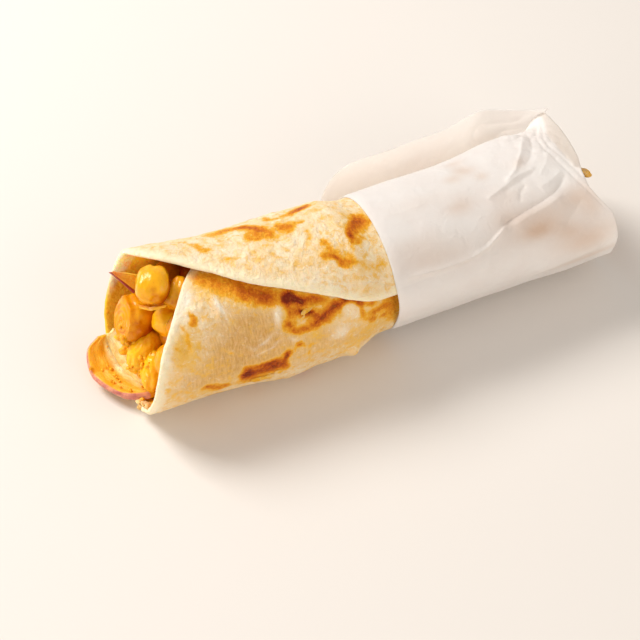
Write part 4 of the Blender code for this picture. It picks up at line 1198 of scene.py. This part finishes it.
def bread_finish():
    material, tree = finish_of("pan_fried_paratha")
    flat = read_field(tree, "flat", "Vector")
    golden, dull, pale, toast, stain, rim, deep, thin = read_fields(
        tree, "golden dull pale toast stain rim deep thin")
    broad = speckle(flat, 0.14, 3.0)
    mottle = speckle(flat, 0.36, 5.0, 0.6, 0.5)
    patchy = speckle(flat, 0.8, 5.0, 0.62, 0.3)
    grain = speckle(flat, 1.9, 5.0, 0.7)
    fibres = speckle(stretched(flat, (1.5, 0.3, 1.0)), 1.1, 4.0, 0.6, 0.2)
    cream = blend(broad.span(0.35, 0.65), (0.93, 0.77, 0.53), (0.92, 0.68, 0.38))
    cream = blend(mottle.span(0.42, 0.66, 0.0, 0.95), cream, (0.89, 0.58, 0.23))
    tan = blend(fibres.span(0.32, 0.68), (0.82, 0.50, 0.19), (0.66, 0.35, 0.095))
    dough = blend((dull * 0.95).clamped(), cream, tan)
    gold = golden * 0.75 + mottle.span(0.46, 0.74, -0.14, 0.5)
    gold = gold * patchy.span(0.25, 0.6, 0.6, 1.15)
    dough = blend(gold.span(0.0, 0.9), dough, (0.88, 0.50, 0.085))
    flour = pale + speckle(flat, 0.6, 6.0, 0.7, 0.6).span(0.53, 0.69, 0.0, 0.75)
    flour = (flour * grain.span(0.2, 0.6, 0.6, 1.0)).clamped()
    flour = flour * (dull - pale).span(0.0, 1.0, 1.0, 0.4)
    dough = blend(flour, dough, (0.97, 0.86, 0.69))
    fray = (mottle - 0.5) * 0.9 + (patchy - 0.5) * 1.1 + (grain - 0.5) * 0.5
    fray = fray * toast.span(0.0, 0.6)
    heat = toast + fray
    crust = ramp(heat * 0.72, (
        (0.08, (0.90, 0.60, 0.22)), (0.25, (0.88, 0.45, 0.035)), (0.44, (0.80, 0.32, 0.012)),
        (0.64, (0.66, 0.18, 0.002)), (0.84, (0.45, 0.068, 0.001)), (1.0, (0.20, 0.015, 0.001))))
    # toasted crust, partly painted shade along the flap's edge
    colour = blend(heat.span(0.02, 0.46), dough, crust)
    soaked = blend(mottle.span(0.35, 0.65), (1.0, 0.56, 0.03), (0.95, 0.42, 0.006))
    # painted light: the thin lip is painted a lighter gold, as if lit from behind
    soaked = blend(thin, soaked, (1.0, 0.67, 0.05))
    # painted shade deep inside the roll
    soaked = blend(deep, soaked, (0.44, 0.07, 0.001))
    colour = blend((stain + fray).span(0.0, 0.9), colour, soaked)
    # pale rim dough, with a painted highlight along the very edge
    colour = blend((rim * 0.8 - stain * 2.0).clamped(), colour, (0.98, 0.86, 0.60))
    height = speckle(flat, 0.5, 6.0, 0.58) + grain * 0.2 + fibres * (dull * 0.32)
    return covered(
        material, Base_Color=colour, Roughness=grain.span(0.2, 0.8, 0.40, 0.62), Specular_IOR_Level=0.17,
        Subsurface_Weight=thin.span(0.0, 1.0, 0.1, 1.0), Subsurface_Scale=thin.span(0.0, 1.0, 0.0015, 0.010),
        Subsurface_Radius=(1.0, 0.45, 0.15), Normal=bumps(height, 0.9, 0.0013))


def chickpea_finish():
    material, tree = finish_of("boiled_chickpea_in_masala")
    place = node(tree, "ShaderNodeTexCoord", output="Object")
    tone, split, raised, sheltered = read_fields(tree, "tone split raised sheltered")
    blotch = speckle(place, 260.0, 5.0, 0.6, 0.4)
    fine = speckle(place, 1100.0, 5.0, 0.65)
    skin = blend(blotch.span(0.3, 0.7), (0.82, 0.34, 0.002), (0.66, 0.19, 0.001))
    # higher tones are lighter; the tones of the shown and tucked chickpeas are set as painted light and
    # shade
    skin = blend(tone.span(0.0, 1.0, 0.0, 0.9), skin, (0.96, 0.47, 0.006))
    # painted highlight on the skin's bulges and painted shade in its hollows
    skin = blend(raised.span(0.0, 1.0, 0.0, 0.6), skin, (0.98, 0.50, 0.010))
    skin = blend(raised.span(0.0, -1.0, 0.0, 0.6), skin, (0.60, 0.14, 0.001))
    # painted shade: the side that faces away from the lamps is darkened towards deep red-brown
    skin = blend(sheltered.span(0.0, 1.0), skin, (0.43, 0.065, 0.001))
    # dark masala paste, made darker still as painted shade for the gaps between chickpeas
    paste_and_gap_shade = blend(fine.span(0.35, 0.7), (0.20, 0.015, 0.001), (0.38, 0.06, 0.002))
    # negative tones (tucked chickpeas and the core) blend towards the paste: painted shade in the gaps
    colour = blend(tone.span(-0.1, -0.9), skin, paste_and_gap_shade)
    specks = speckle(read_field(tree, "local", "Vector"), 2.6, 3.0, 0.5).span(0.66, 0.74, 0.0, 0.7)
    colour = blend(specks, colour, (0.50, 0.11, 0.01))
    colour = blend(split * fine.span(0.3, 0.7, 0.55, 0.1), colour, (0.82, 0.36, 0.002))
    return covered(
        material, Base_Color=colour, Roughness=0.15, Specular_IOR_Level=0.34, Subsurface_Weight=0.2,
        Subsurface_Scale=0.003, Subsurface_Radius=(1.0, 0.35, 0.03),
        Normal=bumps(blotch * 0.9 + fine * 0.4, 0.35, 0.0006))


def crumb_finish():
    material, tree = finish_of("masala_crumb")
    place = node(tree, "ShaderNodeTexCoord", output="Object")
    colour = blend(speckle(place, 700.0, 3.0).span(0.35, 0.65), (0.96, 0.52, 0.016), (0.84, 0.32, 0.004))
    return covered(
        material, Base_Color=colour, Roughness=0.42, Specular_IOR_Level=0.3, Subsurface_Weight=0.15,
        Subsurface_Scale=0.001, Subsurface_Radius=(1.0, 0.35, 0.03),
        Normal=bumps(speckle(place, 2400.0), 0.3, 0.0003))


def onion_finish():
    material, tree = finish_of("cut_red_onion")
    flat = read_field(tree, "flat", "Vector")
    across, along, soaked = read_fields(tree, "across along soaked")
    layers = stretched(flat, (0.24, 1.0, 1.0))
    streak = speckle(layers, 2.0, 5.0, 0.65, 0.4)
    blotch = speckle(flat, 0.3, 4.0, 0.6)
    flesh = blend(streak.span(0.35, 0.62), (0.97, 0.58, 0.08), (0.92, 0.45, 0.02))
    flesh = blend(blotch.span(0.42, 0.60, 0.0, 0.95), flesh, (0.93, 0.43, 0.010))
    pale = across.span(0.62, 0.86) * blotch.span(0.36, 0.62, 1.0, 0.45)
    flesh = blend(pale, flesh, (1.0, 0.85, 0.46))
    lines = speckle(layers, 3.4, 4.0, 0.6, 0.4).span(0.56, 0.66, 0.0, 0.6) * soaked.span(0.0, 0.3, 1.0, 0.2)
    flesh = blend(lines, flesh, (0.60, 0.22, 0.03))
    stained = blend(streak.span(0.35, 0.65), (1.0, 0.64, 0.10), (0.94, 0.46, 0.02))
    flesh = blend(soaked.span(0.3, 1.0), flesh, stained)
    blush = soaked * along.span(0.65, 0.1, 0.0, 0.75) * soaked.span(0.5, 0.9)
    flesh = blend(blush, flesh, (0.70, 0.24, 0.11))
    purple = blend(blotch.span(0.35, 0.65), (0.50, 0.15, 0.14), (0.80, 0.36, 0.20))
    purple = blend(soaked, purple, (0.32, 0.03, 0.02))
    skin_width = across + along.span(0.0, 0.55, 0.05, 0.0) - soaked * 0.09
    return covered(
        material, Base_Color=blend(skin_width.span(0.105, 0.04), flesh, purple), Roughness=0.36,
        Specular_IOR_Level=0.22, Subsurface_Weight=0.5, Subsurface_Scale=0.003,
        Subsurface_Radius=(1.0, 0.6, 0.35), Normal=bumps(streak, 0.4, 0.0005))


def paper_finish():
    """Greaseproof paper: some of the light goes through it, more so where it is a single sheet."""
    material, tree = finish_of("greaseproof_paper")
    flat = read_field(tree, "flat", "Vector")
    tint, hem, single, flap = read_fields(tree, "tint hem single flap")
    fibre = speckle(flat, 0.5, 8.0, 0.6)
    colour = blend(speckle(flat, 0.08, 3.0).span(0.3, 0.7), (0.975, 0.945, 0.92), (0.955, 0.905, 0.875))
    # bread showing through, and on the near side painted shade and painted warm reflection
    colour = blend(tint * 0.72, colour, (0.80, 0.60, 0.46))
    colour = blend(fibre.span(0.45, 0.75, 0.0, 0.12), colour, (0.97, 0.94, 0.90))
    colour = blend(hem * 0.6, colour, (0.97, 0.95, 0.92))
    colour = blend(single * 0.8, colour, (0.88, 0.83, 0.79))
    crumple = (speckle(flat, 0.16, 2.0, 0.5, 0.6) - 0.5).with_other(0.0, "ABSOLUTE")
    normal = bumps(fibre * 0.3 + crumple * -2.5, 0.3, 0.0006)
    covered(material, Base_Color=colour, Roughness=0.5, Specular_IOR_Level=0.35, Normal=normal)
    glow = node(tree, "ShaderNodeBsdfTranslucent", {
        "Color": blend(0.6, colour, (1.0, 0.99, 0.97)), "Normal": normal})
    sheer = flap.span(0.0, 0.25, 0.35, 0.70).with_other(single.span(0.0, 1.0, 0.35, 0.6), "MAXIMUM")
    surface = Value(tree.nodes["Principled BSDF"].outputs[0])
    both = node(tree, "ShaderNodeMixShader", {0: sheer, 1: surface, 2: glow})
    fill(tree.nodes["Material Output"], {"Surface": both})
    return material


# --- studio --------------------------------------------------------------------------------
CAMERA_PLACE = Vector((-0.20098, -0.37372, 0.44942))
CAMERA_TARGET = Vector((-0.01983, -0.01961, 0.02))
CAMERA_ROLL = math.radians(2.747)
VIEW_ANGLE = math.radians(20.0)
FLOOR_REACH, FLOOR_COLOUR = 2.5, (0.79, 0.742, 0.695)
ROOM_LIGHT, ROOM_COLOUR = 0.49, (1.0, 0.96, 0.92)
REFLECTED = (1.0, 0.95, 0.88)


def make_camera():
    camera = bpy.data.cameras.new("camera")
    camera.angle = VIEW_ANGLE
    seen = placed("camera", camera)
    back = (CAMERA_PLACE - CAMERA_TARGET).normalized()
    seen.location = CAMERA_PLACE
    seen.rotation_mode = "QUATERNION"
    seen.rotation_quaternion = back.to_track_quat("Z", "Y") @ Quaternion((0.0, 0.0, 1.0), CAMERA_ROLL)
    bpy.context.scene.camera = seen


def softbox(name, place, size, power, colour):
    light = bpy.data.lights.new(name, "AREA")
    light.energy, light.size, light.color = power, size, colour
    lamp = placed(name, light)
    lamp.location = place
    lamp.rotation_euler = Vector(place).to_track_quat("Z", "Y").to_euler()


def make_studio():
    mesh = bpy.data.meshes.new("floor")
    corners = [(x * FLOOR_REACH, y * FLOOR_REACH, 0) for x, y in ((-1, -1), (1, -1), (1, 1), (-1, 1))]
    mesh.from_pydata(corners, [], [(0, 1, 2, 3)])
    floor, _ = finish_of("pale_floor")
    mesh.materials.append(covered(floor, Base_Color=FLOOR_COLOUR, Roughness=0.55, Specular_IOR_Level=0.12))
    placed("floor", mesh)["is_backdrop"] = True
    world = bpy.data.worlds.new("soft_room")
    world.use_nodes = True
    fill(world.node_tree.nodes["Background"], {"Color": ROOM_COLOUR, "Strength": ROOM_LIGHT})
    bpy.context.scene.world = world
    softbox("window", (-0.50, 0.62, 0.80), 0.45, 11.5, (1.0, 0.98, 0.95))
    softbox("side_reflector", (-0.98, -0.18, 0.13), 0.36, 3.3, REFLECTED)
    softbox("front_reflector", (0.42, -0.95, 0.38), 0.9, 5.0, REFLECTED)
    bpy.context.scene.view_settings.view_transform = "Standard"


def main():
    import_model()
    solid_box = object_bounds()
    dough, spiced, masala, onion = bread_finish(), chickpea_finish(), crumb_finish(), onion_finish()
    crumbs, chickpeas = crumbs_tree(masala), joined(chickpea_parts())
    make_bread(dough)
    make_flakes(dough)
    finished_parts("chickpeas", chickpeas, spiced, "filling")
    make_core(spiced)
    make_crumbs(chickpeas, masala, crumbs)
    make_onion(onion, masala, crumbs)
    make_scraps(dough, masala)
    make_peel(spiced)
    make_paper(paper_finish())
    make_camera()
    make_studio()
    [[list(corner) for corner in box] for box in (solid_box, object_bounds())]


main()
